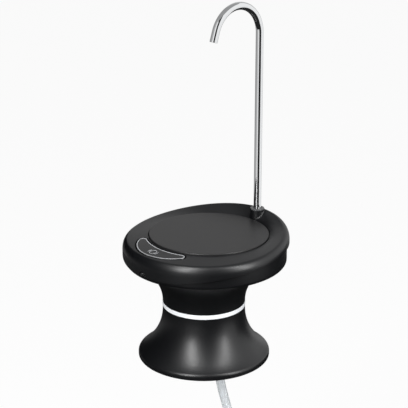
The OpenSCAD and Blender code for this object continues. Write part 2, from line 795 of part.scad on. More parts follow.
module control_board() {
    color([0.1, 0.35, 0.2]) difference() {
        translate([-board_w / 2, board_front_y, board_z])
            cube([board_w, board_back_y - board_front_y, board_t]);
        translate([-port_w / 2 - seat_gap, board_front_y - 1, board_z - 1])
            cube([port_w + 2 * seat_gap, port_back_y - board_front_y + 1 + seat_gap, board_t + 2]);
        for (s = [-1, 1]) translate([s * board_screw_x, board_screw_y, 0])
            bar(m2_r + screw_pilot, board_z - 1, board_top + 1);
    }
}
module board_chips() {
    chips = [[8, -4, 5, 5, 1.4], [-14, -5, 6, 4, 1.2], [-11.5, 2, 4, 6, 2.2], [6.5, 4, 4, 3, 1.6]];
    color([0.12, 0.12, 0.13]) for (c = chips)
        translate([c[0], key_y + c[1], board_top]) cube([c[2], c[3], c[4]]);
}
module board_screws() {
    head_r = 1.9;
    head_h = 1.3;
    spacer_r = 2;
    color([0.7, 0.7, 0.72]) for (s = [-1, 1]) translate([s * board_screw_x, board_screw_y, 0]) {
        bar(head_r, board_top, board_top + head_h);
        bar(m2_r, deck_z, board_top + eps);
        pipe(spacer_r, m2_r - eps, deck_z, board_z);
    }
}
// Charging socket: metal shell with a tongue inside
module charge_socket() {
    r = port_h / 2;
    shell = 0.35;
    tongue = [5.6, 4.8, 0.7];
    color([0.7, 0.71, 0.73]) translate([0, port_front_y, port_z]) {
        difference() {
            port_bar(r, port_depth);
            translate([0, -1, 0]) port_bar(r - shell, port_depth);
        }
        translate([-tongue.x / 2, port_depth - 1 - tongue.y, -tongue.z / 2]) cube(tongue);
    }
}
module port_bar(r, l) {
    span = port_w / 2 - port_h / 2;
    rotate([-90, 0, 0]) {
        for (x = [-span, span]) translate([x, 0, 0]) cylinder(h = l, r = r);
        translate([-span, -r, 0]) cube([2 * span, 2 * r, l]);
    }
}
module tact_switch() {
    color([0.2, 0.2, 0.22]) at_key() difference() {
        translate([-switch_w / 2, -switch_w / 2, board_top]) cube([switch_w, switch_w, switch_h]);
        bar(plunger_r + clear_gap, plunger_foot - key_travel - clear_gap, board_top + switch_h + 1);
    }
}
module switch_plunger() {
    color([0.8, 0.5, 0.3]) at_key() bar(plunger_r, plunger_foot, plunger_top);
}

// Rubber boot on the waist's floor that holds the motor's lower end
module motor_boot() {
    color([0.18, 0.18, 0.19]) at_pump() difference() {
        bar(motor_r + 2.2, floor_top, floor_top + boot_h);
        bar(motor_r + fit_gap, floor_top + boot_floor, floor_top + boot_h + 1);
        bar(4, floor_top - 1, floor_top + boot_h);
    }
}
module motor_endcap() {
    color([0.9, 0.88, 0.8]) at_pump() pipe(motor_r, shaft_r + fit_gap, endcap_z, motor_z);
}
module motor_can() {
    color([0.72, 0.73, 0.75]) at_pump() difference() {
        bar(motor_r, motor_z, base_z);
        bar(motor_r - can_t, motor_z - 1, base_z - can_t);
        bar(shaft_r + fit_gap, base_z - 2, base_z + 1);
    }
}
module motor_magnets() {
    color([0.3, 0.3, 0.32]) at_pump()
        pipe(motor_r - can_t, motor_r - can_t - 1.6, motor_z + 4, base_z - can_t - 3);
}
// Rotor: shaft, iron core and commutator, turning in the two end holes
module motor_rotor() {
    core_r = motor_r - can_t - 2.2;
    color([0.65, 0.55, 0.4]) at_pump() {
        bar(shaft_r, endcap_z, shaft_top);
        bar(core_r, motor_z + 6, base_z - can_t - 4);
        bar(3, motor_z + 1, motor_z + 4);
    }
}
// Eccentric on the shaft with a slanted hole for the drive pin
pin_r = 0.8;
pin_off = 2.4;
pin_foot = 3.5;
pin_head = 10;
hub_r = 5;
hub_h = 5.2;
hub_z = base_z + 2.4;
module pin_bar(r, z0, z1) {
    lean = atan(pin_off / (pin_head - pin_foot));
    at_pump() translate([pin_off, 0, base_z + pin_foot]) rotate([0, -lean, 0]) bar(r, z0, z1);
}
pin_l = norm([pin_off, pin_head - pin_foot]);
module eccentric() {
    color([0.92, 0.92, 0.9]) difference() {
        at_pump() bar(hub_r, hub_z, hub_z + hub_h);
        at_pump() bar(shaft_r + eps, base_z, shaft_top + eps);
        pin_bar(pin_r + eps, 0, 20);
    }
}
module drive_pin() {
    color([0.8, 0.8, 0.82]) difference() {
        pin_bar(pin_r, 0, pin_l);
        at_pump() bar(shaft_r + 2 * eps, base_z, shaft_top + 2 * eps);
    }
}
module pump_base() {
    color([0.85, 0.86, 0.88]) difference() {
        at_pump() bar(pump_r, base_z, diaphragm_z);
        at_pump() bar(pump_r - 3.6, base_z + 2, diaphragm_z + 1);
        at_pump() bar(3, base_z - 1, base_z + 3);
        pump_screw_holes(m2_r - screw_pilot);
    }
}
// Three-armed plate on the pin, its feet under the diaphragm's cups
module wobble_plate() {
    arm_r = 6.4;
    t = 2;
    z = diaphragm_z - t;
    color([0.95, 0.95, 0.93]) at_pump() difference() {
        union() {
            bar(4.2, z, z + t);
            for (i = [0 : 2]) rotate(120 * i + 60) {
                translate([arm_r, 0, 0]) bar(3, z, z + t);
                translate([0, -1.5, z]) cube([arm_r, 3, t]);
            }
        }
        bar(pin_r + 1.2, z - 1, z + t + 1);
    }
}
module pump_screw_holes(r) {
    at_pump() for (i = [0 : 2]) rotate(120 * i) translate([pump_screw_r, 0, 0])
        bar(r, base_z + 1, cover_z + cover_h + 1);
}
module diaphragm() {
    color([0.25, 0.25, 0.27]) difference() {
        at_pump() bar(pump_r, diaphragm_z, valve_z);
        pump_screw_holes(m2_r + screw_pilot);
    }
}
module valve_plate() {
    port_r = 1.2;
    color([0.9, 0.9, 0.92]) difference() {
        at_pump() bar(pump_r, valve_z, cover_z);
        pump_screw_holes(m2_r + screw_pilot);
        at_pump() for (i = [0 : 2]) rotate(120 * i + 60) for (r = [3.4, 8.4])
            translate([r, 0, 0]) bar(port_r, valve_z - 1, cover_z + 1);
    }
}
// Cover with an inlet ring chamber, an outlet chamber and two side barbs
module pump_cover() {
    barb_l = 8;
    chamber_h = 3.2;
    color([0.85, 0.86, 0.88]) difference() {
        union() {
            at_pump() bar(pump_r, cover_z, cover_z + cover_h);
            along_outlet() cylinder(h = pump_r + barb_l, r = barb_r);
            along_inlet() cylinder(h = pump_r + stub_l, r = barb_r);
        }
        at_pump() bar(5, cover_z - 1, cover_z + 8.4);
        at_pump() pipe(9.8, 7, cover_z - 1, cover_z + chamber_h);
        along_outlet() cylinder(h = pump_r + barb_l + 1, r = barb_bore);
        along_inlet() translate([0, 0, 8.4]) cylinder(h = pump_r, r = barb_bore);
        along_inlet() translate([0, 0, 8.4]) rotate([0, 90, 0]) cylinder(h = 5.9, r = 1.2);
        pump_screw_holes(m2_r + screw_pilot);
    }
}
module pump_screws() {
    top = cover_z + cover_h;
    color([0.7, 0.7, 0.72]) at_pump() for (i = [0 : 2]) rotate(120 * i) translate([pump_screw_r, 0, 0]) {
        bar(1.9, top, top + 1.2);
        bar(m2_r - screw_pilot, base_z + 2, top + eps);
    }
}

// Inner soft tube, straight from the pump to the spout's socket
module outlet_hose() {
    y0 = pump_r + seat_gap;
    y1 = pump_y + spout_y - socket_low_r - seat_gap;
    color([0.88, 0.9, 0.92]) along_outlet() difference() {
        translate([0, 0, y0]) cylinder(h = y1 - y0, r = tube_r);
        cylinder(h = y1 + 1, r = barb_r);
    }
}
// Fitting through the waist's floor: flange above, thread, barb end below
module inlet_fitting() {
    color([0.8, 0.81, 0.83]) at_inlet() difference() {
        union() {
            bar(inlet_flange_r, floor_top, floor_top + inlet_flange_h);
            bar(inlet_r, hose_top, floor_top + eps);
        }
        bar(inlet_bore, hose_top - 1, floor_top + inlet_flange_h + 1);
    }
}
module inlet_nut() {
    color([0.75, 0.76, 0.78]) at_inlet() difference() {
        translate([0, 0, ring_top - nut_h]) cylinder(h = nut_h, r = nut_r, $fn = 6);
        bar(inlet_r + fit_gap, ring_top - nut_h - 1, ring_top + 1);
    }
}
// Rigid riser from the fitting, with an elbow towards the pump
module inlet_riser() {
    z0 = floor_top + inlet_flange_h;
    color([0.85, 0.86, 0.88]) difference() {
        riser_path(riser_r, barb_r, z0, 0);
        riser_path(inlet_bore, barb_bore, z0 - 1, 1);
    }
}
module riser_path(r, end_r, z0, more) {
    bend = elbow_r;
    end_l = inlet_reach - bend - pump_r - stub_l - seat_gap;
    at_inlet() {
        bar(r, z0, barb_z - bend);
        rotate(-90 - inlet_turn) translate([bend, 0, barb_z - bend]) {
            rotate([90, 0, 0]) rotate_extrude(angle = -90) translate([-bend, 0]) circle(end_r);
            translate([-eps, 0, bend]) rotate([0, 90, 0]) cylinder(h = end_l + more, r = end_r);
        }
    }
}
module inlet_sleeve() {
    l0 = pump_r + seat_gap;
    l1 = inlet_reach - elbow_r - seat_gap;
    color([0.88, 0.9, 0.92]) along_inlet() difference() {
        translate([0, 0, l0]) cylinder(h = l1 - l0, r = tube_r);
        cylinder(h = l1 + 1, r = barb_r);
    }
}

module battery_leads() {
    color([0.7, 0.15, 0.12]) for (s = [0, 1]) mirror([s, 0, 0])
        swept_tube(lead_side, wire_d, wire_sides, [0, 0, 1]);
}
module motor_leads() {
    color([0.75, 0.2, 0.15]) swept_tube(lead_motor, wire_d, wire_sides, [1, 0, 0]);
}
module suction_hose() {
    color([0.85, 0.88, 0.9]) swept_tube(hose_route, hose_d, hose_sides, [0, 1, 0]);
}

skirt();
neck_collar();
neck_sleeve();
jug_gasket();
trim_ring();
lower_shell();
top_shell();
tray_plate();
control_key();
key_outline();
key_icon();
key_carrier();
spout_socket();
spout_orings();
spout_tube();
chassis_plate();
housing_screws();
base_screws();
battery_cradles();
battery_cells();
control_board();
board_chips();
board_screws();
charge_socket();
tact_switch();
switch_plunger();
motor_boot();
motor_endcap();
motor_can();
motor_magnets();
motor_rotor();
eccentric();
drive_pin();
pump_base();
wobble_plate();
diaphragm();
valve_plate();
pump_cover();
pump_screws();
outlet_hose();
inlet_fitting();
inlet_nut();
inlet_riser();
inlet_sleeve();
battery_leads();
motor_leads();
suction_hose();
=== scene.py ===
"""Dressed scene of an electric water jug pump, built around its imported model."""
import json
import logging
from dataclasses import dataclass
from enum import Enum
from functools import cache
from math import acos, asin, atan, atan2, cos, degrees, hypot, pi, radians, sin, sqrt
from typing import Any, Sequence

import bmesh
import bpy
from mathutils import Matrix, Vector


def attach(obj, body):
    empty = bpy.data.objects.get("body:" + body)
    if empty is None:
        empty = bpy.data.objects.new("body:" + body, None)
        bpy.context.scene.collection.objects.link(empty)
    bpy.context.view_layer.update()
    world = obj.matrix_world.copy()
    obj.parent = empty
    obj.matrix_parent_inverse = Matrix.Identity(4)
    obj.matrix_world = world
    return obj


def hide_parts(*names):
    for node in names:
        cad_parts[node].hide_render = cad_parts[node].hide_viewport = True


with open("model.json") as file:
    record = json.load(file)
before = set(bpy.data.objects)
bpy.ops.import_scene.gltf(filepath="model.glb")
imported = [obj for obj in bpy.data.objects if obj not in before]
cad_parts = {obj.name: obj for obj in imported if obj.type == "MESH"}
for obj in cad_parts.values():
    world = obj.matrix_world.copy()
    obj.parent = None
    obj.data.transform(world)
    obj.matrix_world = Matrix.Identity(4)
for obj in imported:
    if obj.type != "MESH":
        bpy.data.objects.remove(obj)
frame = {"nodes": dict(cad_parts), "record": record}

logging.basicConfig(level=logging.INFO, format="%(message)s")
LOG = logging.getLogger("jug_pump")

# Metres in a millimetre
MM = 0.001
# Points in a full ring, in a bore and in a screw hole
TURNS, BORE_TURNS, SCREW_TURNS = 192, 48, 32
# How far a cutter goes past a face
PAST = 1.0
# Angles in degrees from which an edge stays sharp, on plain and on round pieces
CREASE, ROUND_CREASE = 32.0, 40.0

Object = bpy.types.Object
Pair = tuple[float, float]
Point = tuple[float, float, float]
Ring = list[Point]


class Closing(Enum):
    """How the ends of a row of rings are closed."""

    LOOP = "last ring joins the first"
    CAPS = "a face closes each end"


class Grain(Enum):
    """Small surface detail that a finish carries."""

    MOULDED = "fine spark grain of an injection mould"
    POLISHED = "long faint polishing marks"
    TURNED = "faint rings from a lathe"
    SOFT = "slow ripple of cast silicone or rubber"
    PRINTED = "speckle of a printed line"
    LAMINATE = "weave and tracks of a circuit board"


class Reach(Enum):
    """Which pieces a light source reaches."""

    ONLY_TUBE = "INCLUDE"
    NOT_TUBE = "EXCLUDE"


# Profiles and meshes


def arc(centre: Pair, radius: float, start: float, end: float, steps: int) -> list[Pair]:
    """Points of an arc, in equal steps from a start to an end in degrees."""
    angles = [radians(start + (end - start) * i / steps) for i in range(steps + 1)]
    return [(centre[0] + radius * cos(a), centre[1] + radius * sin(a)) for a in angles]


def revolve(profile: Sequence[Pair], centre: Pair = (0.0, 0.0), turns: int = TURNS) -> list[Ring]:
    """Rings that a profile of radii and heights makes round an upright axis."""
    last = 360 * (turns - 1) / turns
    return [[(x, y, z) for x, y in arc(centre, r, 0, last, turns - 1)] for r, z in profile]


def polar(radius: float, angle: float, back: float, z: float) -> Point:
    """Point round an upright axis that stands back from the waist's axis."""
    return (radius * cos(angle), back + radius * sin(angle), z)


def ease(low: float, high: float, t: float) -> float:
    """Smooth step from 0 at low to 1 at high."""
    u = max(0.0, min(1.0, (t - low) / (high - low)))
    return u * u * (3 - 2 * u)


def between(a: Sequence[float], b: Sequence[float], share: float) -> tuple[float, ...]:
    """Point or pair part of the way from a to b."""
    return tuple(p + (q - p) * share for p, q in zip(a, b))


def add_mesh(name: str, points: Sequence[Any], faces: Sequence[Any]) -> Object:
    """Add a mesh object to the scene.

    Args:
        name: Name of the object and of its mesh.
        points: Points in metres.
        faces: Numbers of the points of each face.

    Returns:
        The new object.
    """
    mesh = bpy.data.meshes.new(name)
    mesh.from_pydata(points, [], faces)
    obj = bpy.data.objects.new(name, mesh)
    bpy.context.scene.collection.objects.link(obj)
    return obj


class Draft:
    """Points and faces of one piece, in millimetres, before they become a mesh."""

    def __init__(self) -> None:
        """Start with nothing."""
        self.points: list[Point] = []
        self.faces: list[list[int]] = []

    def add(self, rings: Sequence[Ring], closing: Closing) -> "Draft":
        """Add a closed skin over rings of equal length.

        Args:
            rings: Rings in order.
            closing: How the two ends are closed.

        Returns:
            This draft.
        """
        base, count, rows = len(self.points), len(rings[0]), len(rings)
        self.points += [p for ring in rings for p in ring]
        spans = rows if closing is Closing.LOOP else rows - 1
        for j in range(spans):
            low, high = base + j * count, base + (j + 1) % rows * count
            for i in range(count):
                k = (i + 1) % count
                self.faces.append([low + i, low + k, high + k, high + i])
        if closing is Closing.CAPS:
            self.faces.append([base + i for i in reversed(range(count))])
            self.faces.append([base + (rows - 1) * count + i for i in range(count)])
        return self

    def build(self, name: str, crease: float = CREASE) -> Object:
        """Make the mesh object, smooth up to a crease angle.

        Args:
            name: Name of the piece.
            crease: Angle in degrees from which an edge stays sharp.

        Returns:
            The new object, linked to the scene.
        """
        obj = add_mesh(name, [[c * MM for c in p] for p in self.points], self.faces)
        work = bmesh.new()
        work.from_mesh(obj.data)
        bmesh.ops.recalc_face_normals(work, faces=work.faces)
        work.to_mesh(obj.data)
        work.free()
        soften(obj, crease)
        return obj


def soften(obj: Object, crease: float) -> None:
    """Shade a mesh smooth, and keep edges sharp from a crease angle in degrees."""
    obj.data.shade_smooth()
    obj.data.set_sharp_from_angle(angle=radians(crease))


def carve(obj: Object, cutters: Sequence[Draft]) -> None:
    """Cut drafts out of a piece and keep the result as its mesh.

    Args:
        obj: Piece that is cut.
        cutters: Closed drafts that are taken out of it.
    """
    tools = [draft.build(f"cutter.{i}") for i, draft in enumerate(cutters)]
    for tool in tools:
        cut = obj.modifiers.new("cut", "BOOLEAN")
        cut.operation, cut.solver, cut.object = "DIFFERENCE", "EXACT", tool
    graph = bpy.context.evaluated_depsgraph_get()
    whole = obj.data
    obj.data = bpy.data.meshes.new_from_object(obj.evaluated_get(graph))
    obj.modifiers.clear()
    name = whole.name
    bpy.data.meshes.remove(whole)
    obj.data.name = name
    for tool in tools:
        bpy.data.meshes.remove(tool.data)
    soften(obj, CREASE)


def drum(centre: Pair, profile: Sequence[Pair], turns: int = SCREW_TURNS) -> Draft:
    """Closed round draft of a profile of radii and heights about an upright axis."""
    return Draft().add(revolve(profile, centre, turns), Closing.CAPS)


def sweep(route: Sequence[Vector], radius: float, turns: int, side: Vector) -> list[Ring]:
    """Rings square to a route.

    Args:
        route: Points of the route.
        radius: Radius of the rings.
        turns: Number of points in each ring.
        side: Direction that the route never runs along.

    Returns:
        One ring for each point of the route.
    """
    rings, last = [], len(route) - 1
    for i, at in enumerate(route):
        along = (route[min(i + 1, last)] - route[max(i - 1, 0)]).normalized()
        u = along.cross(side).normalized()
        v = along.cross(u)
        turn = [2 * pi * k / turns for k in range(turns)]
        rings.append([tuple(at + (u * cos(a) + v * sin(a)) * radius) for a in turn])
    return rings


# Shader expressions and finishes


class Value:
    """A shader socket that takes part in Python arithmetic."""

    def __init__(self, graph: "Graph", socket: bpy.types.NodeSocket) -> None:
        """Wrap a socket of a graph."""
        self.graph, self.socket = graph, socket

    def maths(self, operation: str, first: Any, second: Any) -> "Value":
        """Result of a Math node on two numbers or Values."""
        return self.graph.node("ShaderNodeMath", {"operation": operation}, {0: first, 1: second})

    def __add__(self, other: Any) -> "Value":
        """This plus other."""
        return self.maths("ADD", self, other)

    def __radd__(self, other: Any) -> "Value":
        """Other plus this."""
        return self.maths("ADD", other, self)

    def __sub__(self, other: Any) -> "Value":
        """This minus other."""
        return self.maths("SUBTRACT", self, other)

    def __mul__(self, other: Any) -> "Value":
        """This times other."""
        return self.maths("MULTIPLY", self, other)

    def __gt__(self, other: Any) -> "Value":
        """1 where this is more than other, and 0 elsewhere."""
        return self.maths("GREATER_THAN", self, other)


class Graph:
    """Node tree of one material or of the world."""

    noise_roughness: float = 0.55

    def __init__(self, tree: bpy.types.NodeTree) -> None:
        """Take over a tree and empty it."""
        self.tree = tree
        self.tree.nodes.clear()

    def node(self, kind: str, settings: dict[str, Any], sockets: dict[Any, Any], out: Any = 0) -> Value:
        """Add a node.

        Args:
            kind: Blender's type of the node.
            settings: Properties, which are set first.
            sockets: Value or link of each input, by name or number.
            out: Output that is returned, by name or number.

        Returns:
            That output, ready for arithmetic.
        """
        made = self.tree.nodes.new(kind)
        for key, value in settings.items():
            setattr(made, key, value)
        for key, value in sockets.items():
            if isinstance(value, Value):
                self.tree.links.new(value.socket, made.inputs[key])
            else:
                made.inputs[key].default_value = value
        return Value(self, made.outputs[out] if len(made.outputs) else None)

    def place(self, stretch: Point = (1.0, 1.0, 1.0)) -> Value:
        """Place on the piece in millimetres, stretched along the axes."""
        sockets = {0: self.node("ShaderNodeTexCoord", {}, {}, "Object"), 1: tuple(s / MM for s in stretch)}
        return self.node("ShaderNodeVectorMath", {"operation": "MULTIPLY"}, sockets)

    def noise(self, at: Value, size: float, detail: float = 2.0) -> Value:
        """Noise between 0 and 1 whose lumps have a size in millimetres."""
        sockets = {"Vector": at, "Scale": 1.0 / size, "Detail": detail,
                   "Roughness": self.noise_roughness}
        return self.node("ShaderNodeTexNoise", {}, sockets)

    def tint(self, share: Value, low: Point, high: Point) -> Value:
        """Colour between two, by a share from 0 to 1."""
        sockets = {0: share, 6: (*low, 1.0), 7: (*high, 1.0)}
        return self.node("ShaderNodeMix", {"data_type": "RGBA", "clamp_factor": True}, sockets, 2)


def blank(name: str) -> tuple[bpy.types.Material, Graph]:
    """New material with an empty node tree.

    Args:
        name: Name of the material.

    Returns:
        The material and the graph of its tree.
    """
    material = bpy.data.materials.new(name)
    material.use_nodes = True
    return material, Graph(material.node_tree)


def grey(level: float) -> tuple[float, ...]:
    """Neutral colour of a level from 0 to 1."""
    return (level, level, level, 1.0)


@dataclass(frozen=True)
class Finish:
    """Look of one material slot.

    Sizes are in millimetres and colours are linear.
    """

    colour: Point
    roughness: float
    grain: Grain
    grain_size: float = 0.5
    grain_depth: float = 0.01
    shift: float = 0.12
    gloss_shift: float = 0.06
    metallic: float = 0.0
    specular: float = 0.5
    transmission: float = 0.0
    ior: float = 1.5
    broad_size: float = 26.0
    bump: float = 0.6

    def detail(self, graph: Graph) -> Value:
        """Height of the finish's small surface detail.

        Args:
            graph: Tree that takes the nodes.

        Returns:
            Height from 0 to 1.
        """
        size, along, around = self.grain_size, 0.03, 0.05
        if self.grain is Grain.POLISHED:
            return graph.noise(graph.place((1.0, 1.0, along)), size)
        if self.grain is Grain.TURNED:
            return graph.noise(graph.place((around, around, 1.0)), size)
        if self.grain is Grain.SOFT:
            at = graph.place()
            return graph.noise(at, size * 6) * 0.8 + graph.noise(at, size) * 0.2
        if self.grain is Grain.LAMINATE:
            at = graph.place()
            weave = {"Vector": at, "Scale": 0.6 / size, "Distortion": 0.4}
            tracks = graph.node("ShaderNodeTexWave", {"bands_direction": "X"}, weave, "Fac")
            return (tracks > 0.62) * 0.7 + graph.noise(at, size) * 0.3
        cells = {"Vector": graph.place(), "Scale": 1.0 / size}
        spark = graph.node("ShaderNodeTexVoronoi", {"feature": "SMOOTH_F1"}, cells, "Distance")
        return spark * 0.6 + graph.noise(graph.place(), size * 0.6) * 0.4

    def make(self, name: str) -> bpy.types.Material:
        """Build the material.

        Args:
            name: Name of the material.

        Returns:
            The material with its nodes.
        """
        material, graph = blank(name)
        height = self.detail(graph)
        broad = graph.noise(graph.place(), self.broad_size, 3.0)
        mottle = broad * 0.6 + height * 0.4
        dark = tuple(c * (1 - self.shift) for c in self.colour)
        light = tuple(min(1.0, c * (1 + self.shift)) for c in self.colour)
        bump = graph.node("ShaderNodeBump", {}, {
            "Strength": self.bump, "Distance": self.grain_depth * MM, "Height": height})
        slow = self.roughness + (broad - 0.5) * self.gloss_shift
        surface = graph.node("ShaderNodeBsdfPrincipled", {}, {
            "Base Color": graph.tint(mottle, dark, light),
            "Roughness": slow + (height - 0.5) * self.gloss_shift,
            "Metallic": self.metallic,
            "Specular IOR Level": self.specular,
            "Transmission Weight": self.transmission,
            "IOR": self.ior,
            "Normal": bump,
        })
        graph.node("ShaderNodeOutputMaterial", {}, {"Surface": surface})
        return material


FINISHES: dict[str, Finish] = {
    "black_abs": Finish((0.0035, 0.0038, 0.0046), 0.36, Grain.MOULDED, 0.45, 0.0025, gloss_shift=0.03),
    "tray_black": Finish((0.011, 0.011, 0.0115), 0.42, Grain.MOULDED, 0.35, 0.004, gloss_shift=0.03),
    "key_black": Finish((0.010, 0.0102, 0.0108), 0.34, Grain.MOULDED, 0.3, 0.004, gloss_shift=0.03),
    "silver_print": Finish((0.50, 0.51, 0.53), 0.42, Grain.PRINTED, 0.12, 0.004, metallic=0.35),
    "white_band": Finish((0.84, 0.86, 0.89), 0.32, Grain.MOULDED, 0.5, 0.004, shift=0.03),
    "spout_grey": Finish((0.07, 0.072, 0.075), 0.26, Grain.TURNED, 0.3, 0.006, shift=0.06),
    "polished_steel": Finish((0.80, 0.81, 0.82), 0.07, Grain.POLISHED, 0.15, 0.001, 0.03, 0.03,
                             metallic=1.0),
    "clear_silicone": Finish((0.86, 0.89, 0.91), 0.24, Grain.SOFT, 1.6, 0.05, 0.04, 0.08,
                             transmission=0.55, ior=1.41),
    "white_silicone": Finish((0.70, 0.71, 0.72), 0.46, Grain.SOFT, 1.2, 0.03, shift=0.04),
    "black_rubber": Finish((0.018, 0.018, 0.019), 0.66, Grain.SOFT, 0.8, 0.03, specular=0.3),
    "white_acetal": Finish((0.74, 0.74, 0.72), 0.36, Grain.MOULDED, 0.6, 0.006, shift=0.03),
    "grey_frame": Finish((0.10, 0.105, 0.11), 0.48, Grain.MOULDED, 0.6, 0.008, specular=0.35),
    "steel": Finish((0.58, 0.58, 0.59), 0.28, Grain.TURNED, 0.2, 0.004, 0.05, metallic=1.0),
    "magnet": Finish((0.10, 0.10, 0.105), 0.52, Grain.MOULDED, 0.3, 0.008, metallic=0.4),
    "rotor_metal": Finish((0.42, 0.40, 0.38), 0.34, Grain.TURNED, 0.35, 0.008, 0.08, metallic=1.0),
    "board_green": Finish((0.02, 0.13, 0.055), 0.40, Grain.LAMINATE, 1.1, 0.03, 0.25),
    "chip_black": Finish((0.02, 0.02, 0.021), 0.50, Grain.MOULDED, 0.25, 0.006, specular=0.35),
    "switch_brown": Finish((0.09, 0.05, 0.03), 0.44, Grain.MOULDED, 0.4, 0.006),
    "cell_wrap": Finish((0.05, 0.16, 0.30), 0.30, Grain.SOFT, 1.4, 0.02, 0.06),
    "wire_red": Finish((0.42, 0.03, 0.025), 0.42, Grain.SOFT, 0.7, 0.02, 0.06),
}


@cache
def material_of(slot: str) -> bpy.types.Material:
    """Material of a slot, which is made once."""
    return FINISHES[slot].make(slot)


def dress(obj: Object, slot: str) -> None:
    """Give a piece one material all over.

    Args:
        obj: Piece or node.
        slot: Name of the record's slot.
    """
    obj.data.materials.clear()
    obj.data.materials.append(material_of(slot))
    for face in obj.data.polygons:
        face.material_index = 0


def settle(obj: Object, body: str, slot: str, *nodes: str) -> None:
    """Dress a piece, put it on its body and report it.

    Args:
        obj: New piece.
        body: Body that it rides on.
        slot: Material slot of its finish.
        *nodes: CAD nodes that it stands for.
    """
    dress(obj, slot)
    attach(obj, body)
    if nodes:
        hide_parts(*nodes)
    LOG.info("%s rides on %s in %s, %d faces", obj.name, body, slot, len(obj.data.polygons))


# Camera and lamps


def direction(azimuth: float, elevation: float) -> Vector:
    """Direction away from the object, by degrees round it and over the ground."""
    az, el = radians(azimuth), radians(elevation)
    return Vector((sin(az) * cos(el), -cos(az) * cos(el), sin(el)))


def add_aimed(data: Any, at: Vector, way: Vector) -> Object:
    """Add a camera or lamp that looks back along a direction.

    Args:
        data: The camera's or lamp's data.
        at: Its place in metres.
        way: Direction from the object to it.

    Returns:
        The new object.
    """
    obj = bpy.data.objects.new(data.name, data)
    obj.location, obj.rotation_euler = at, way.to_track_quat("Z", "Y").to_euler()
    bpy.context.scene.collection.objects.link(obj)
    return obj


# Sub-assemblies


@dataclass
class Viewpoint:
    """Camera at the photograph's viewing angle."""

    azimuth: float = 47.2
    elevation: float = 19.08
    distance: float = 1384.4
    focus_z: float = 167.5
    focus_side: float = 0.10
    lens: float = 119.1
    sensor: float = 36.0
    clip_end: float = 50.0

    def build(self) -> None:
        """Make the camera and set it as the scene's own."""
        back, az = direction(self.azimuth, self.elevation), radians(self.azimuth)
        right = Vector((cos(az), sin(az), 0.0))
        focus = Vector((0.0, 0.0, self.focus_z)) + right * self.focus_side
        data = bpy.data.cameras.new("camera")
        data.lens, data.sensor_width, data.clip_end = self.lens, self.sensor, self.clip_end
        bpy.context.scene.camera = add_aimed(data, (focus + back * self.distance) * MM, back)


@dataclass
class SuctionHose:
    """Clear hose that hangs down from the inlet."""

    diameter: float = 9.4
    bore: float = 6.2
    spans: int = 6
    turns: int = 40
    route: tuple[Point, ...] = (
        (14, 4, 44), (14, 4, 30), (14, 4, 16), (14.5, 5, 0), (16, 7, -20), (18, 10, -40), (21, 14, -60),
        (24, 18, -80), (27, 22, -100), (30, 25, -120), (32, 27, -140), (33, 28, -160), (33, 28, -180),
        (32, 27, -200), (30, 25, -220), (27, 22, -240), (23, 19, -260), (19, 15, -280), (15, 11, -298))

    def path(self) -> list[Vector]:
        """Smooth line through the route's points.

        Returns:
            Points of the line.
        """
        p = [Vector(q) for q in self.route]
        line = []
        for i in range(len(p) - 1):
            a, b, c, d = p[max(i - 1, 0)], p[i], p[i + 1], p[min(i + 2, len(p) - 1)]
            for k in range(self.spans):
                t = k / self.spans
                line.append(0.5 * (2 * b + (c - a) * t + (2 * a - 5 * b + 4 * c - d) * t ** 2
                                   + (3 * b - a - 3 * c + d) * t ** 3))
        return line + [p[-1]]

    def build(self) -> None:
        line, side = self.path(), Vector((0, 1, 0))
        outer = sweep(line, self.diameter / 2, self.turns, side)
        inner = sweep(line, self.bore / 2, self.turns, side)
        hose = Draft().add(outer + inner[::-1], Closing.LOOP).build("hanging_hose")
        settle(hose, "housing", "clear_silicone", "suction_hose")
        length = sum((b - a).length for a, b in zip(line, line[1:]))
        tuple(line[0] * MM)
        [tuple(q * MM) for q in line]


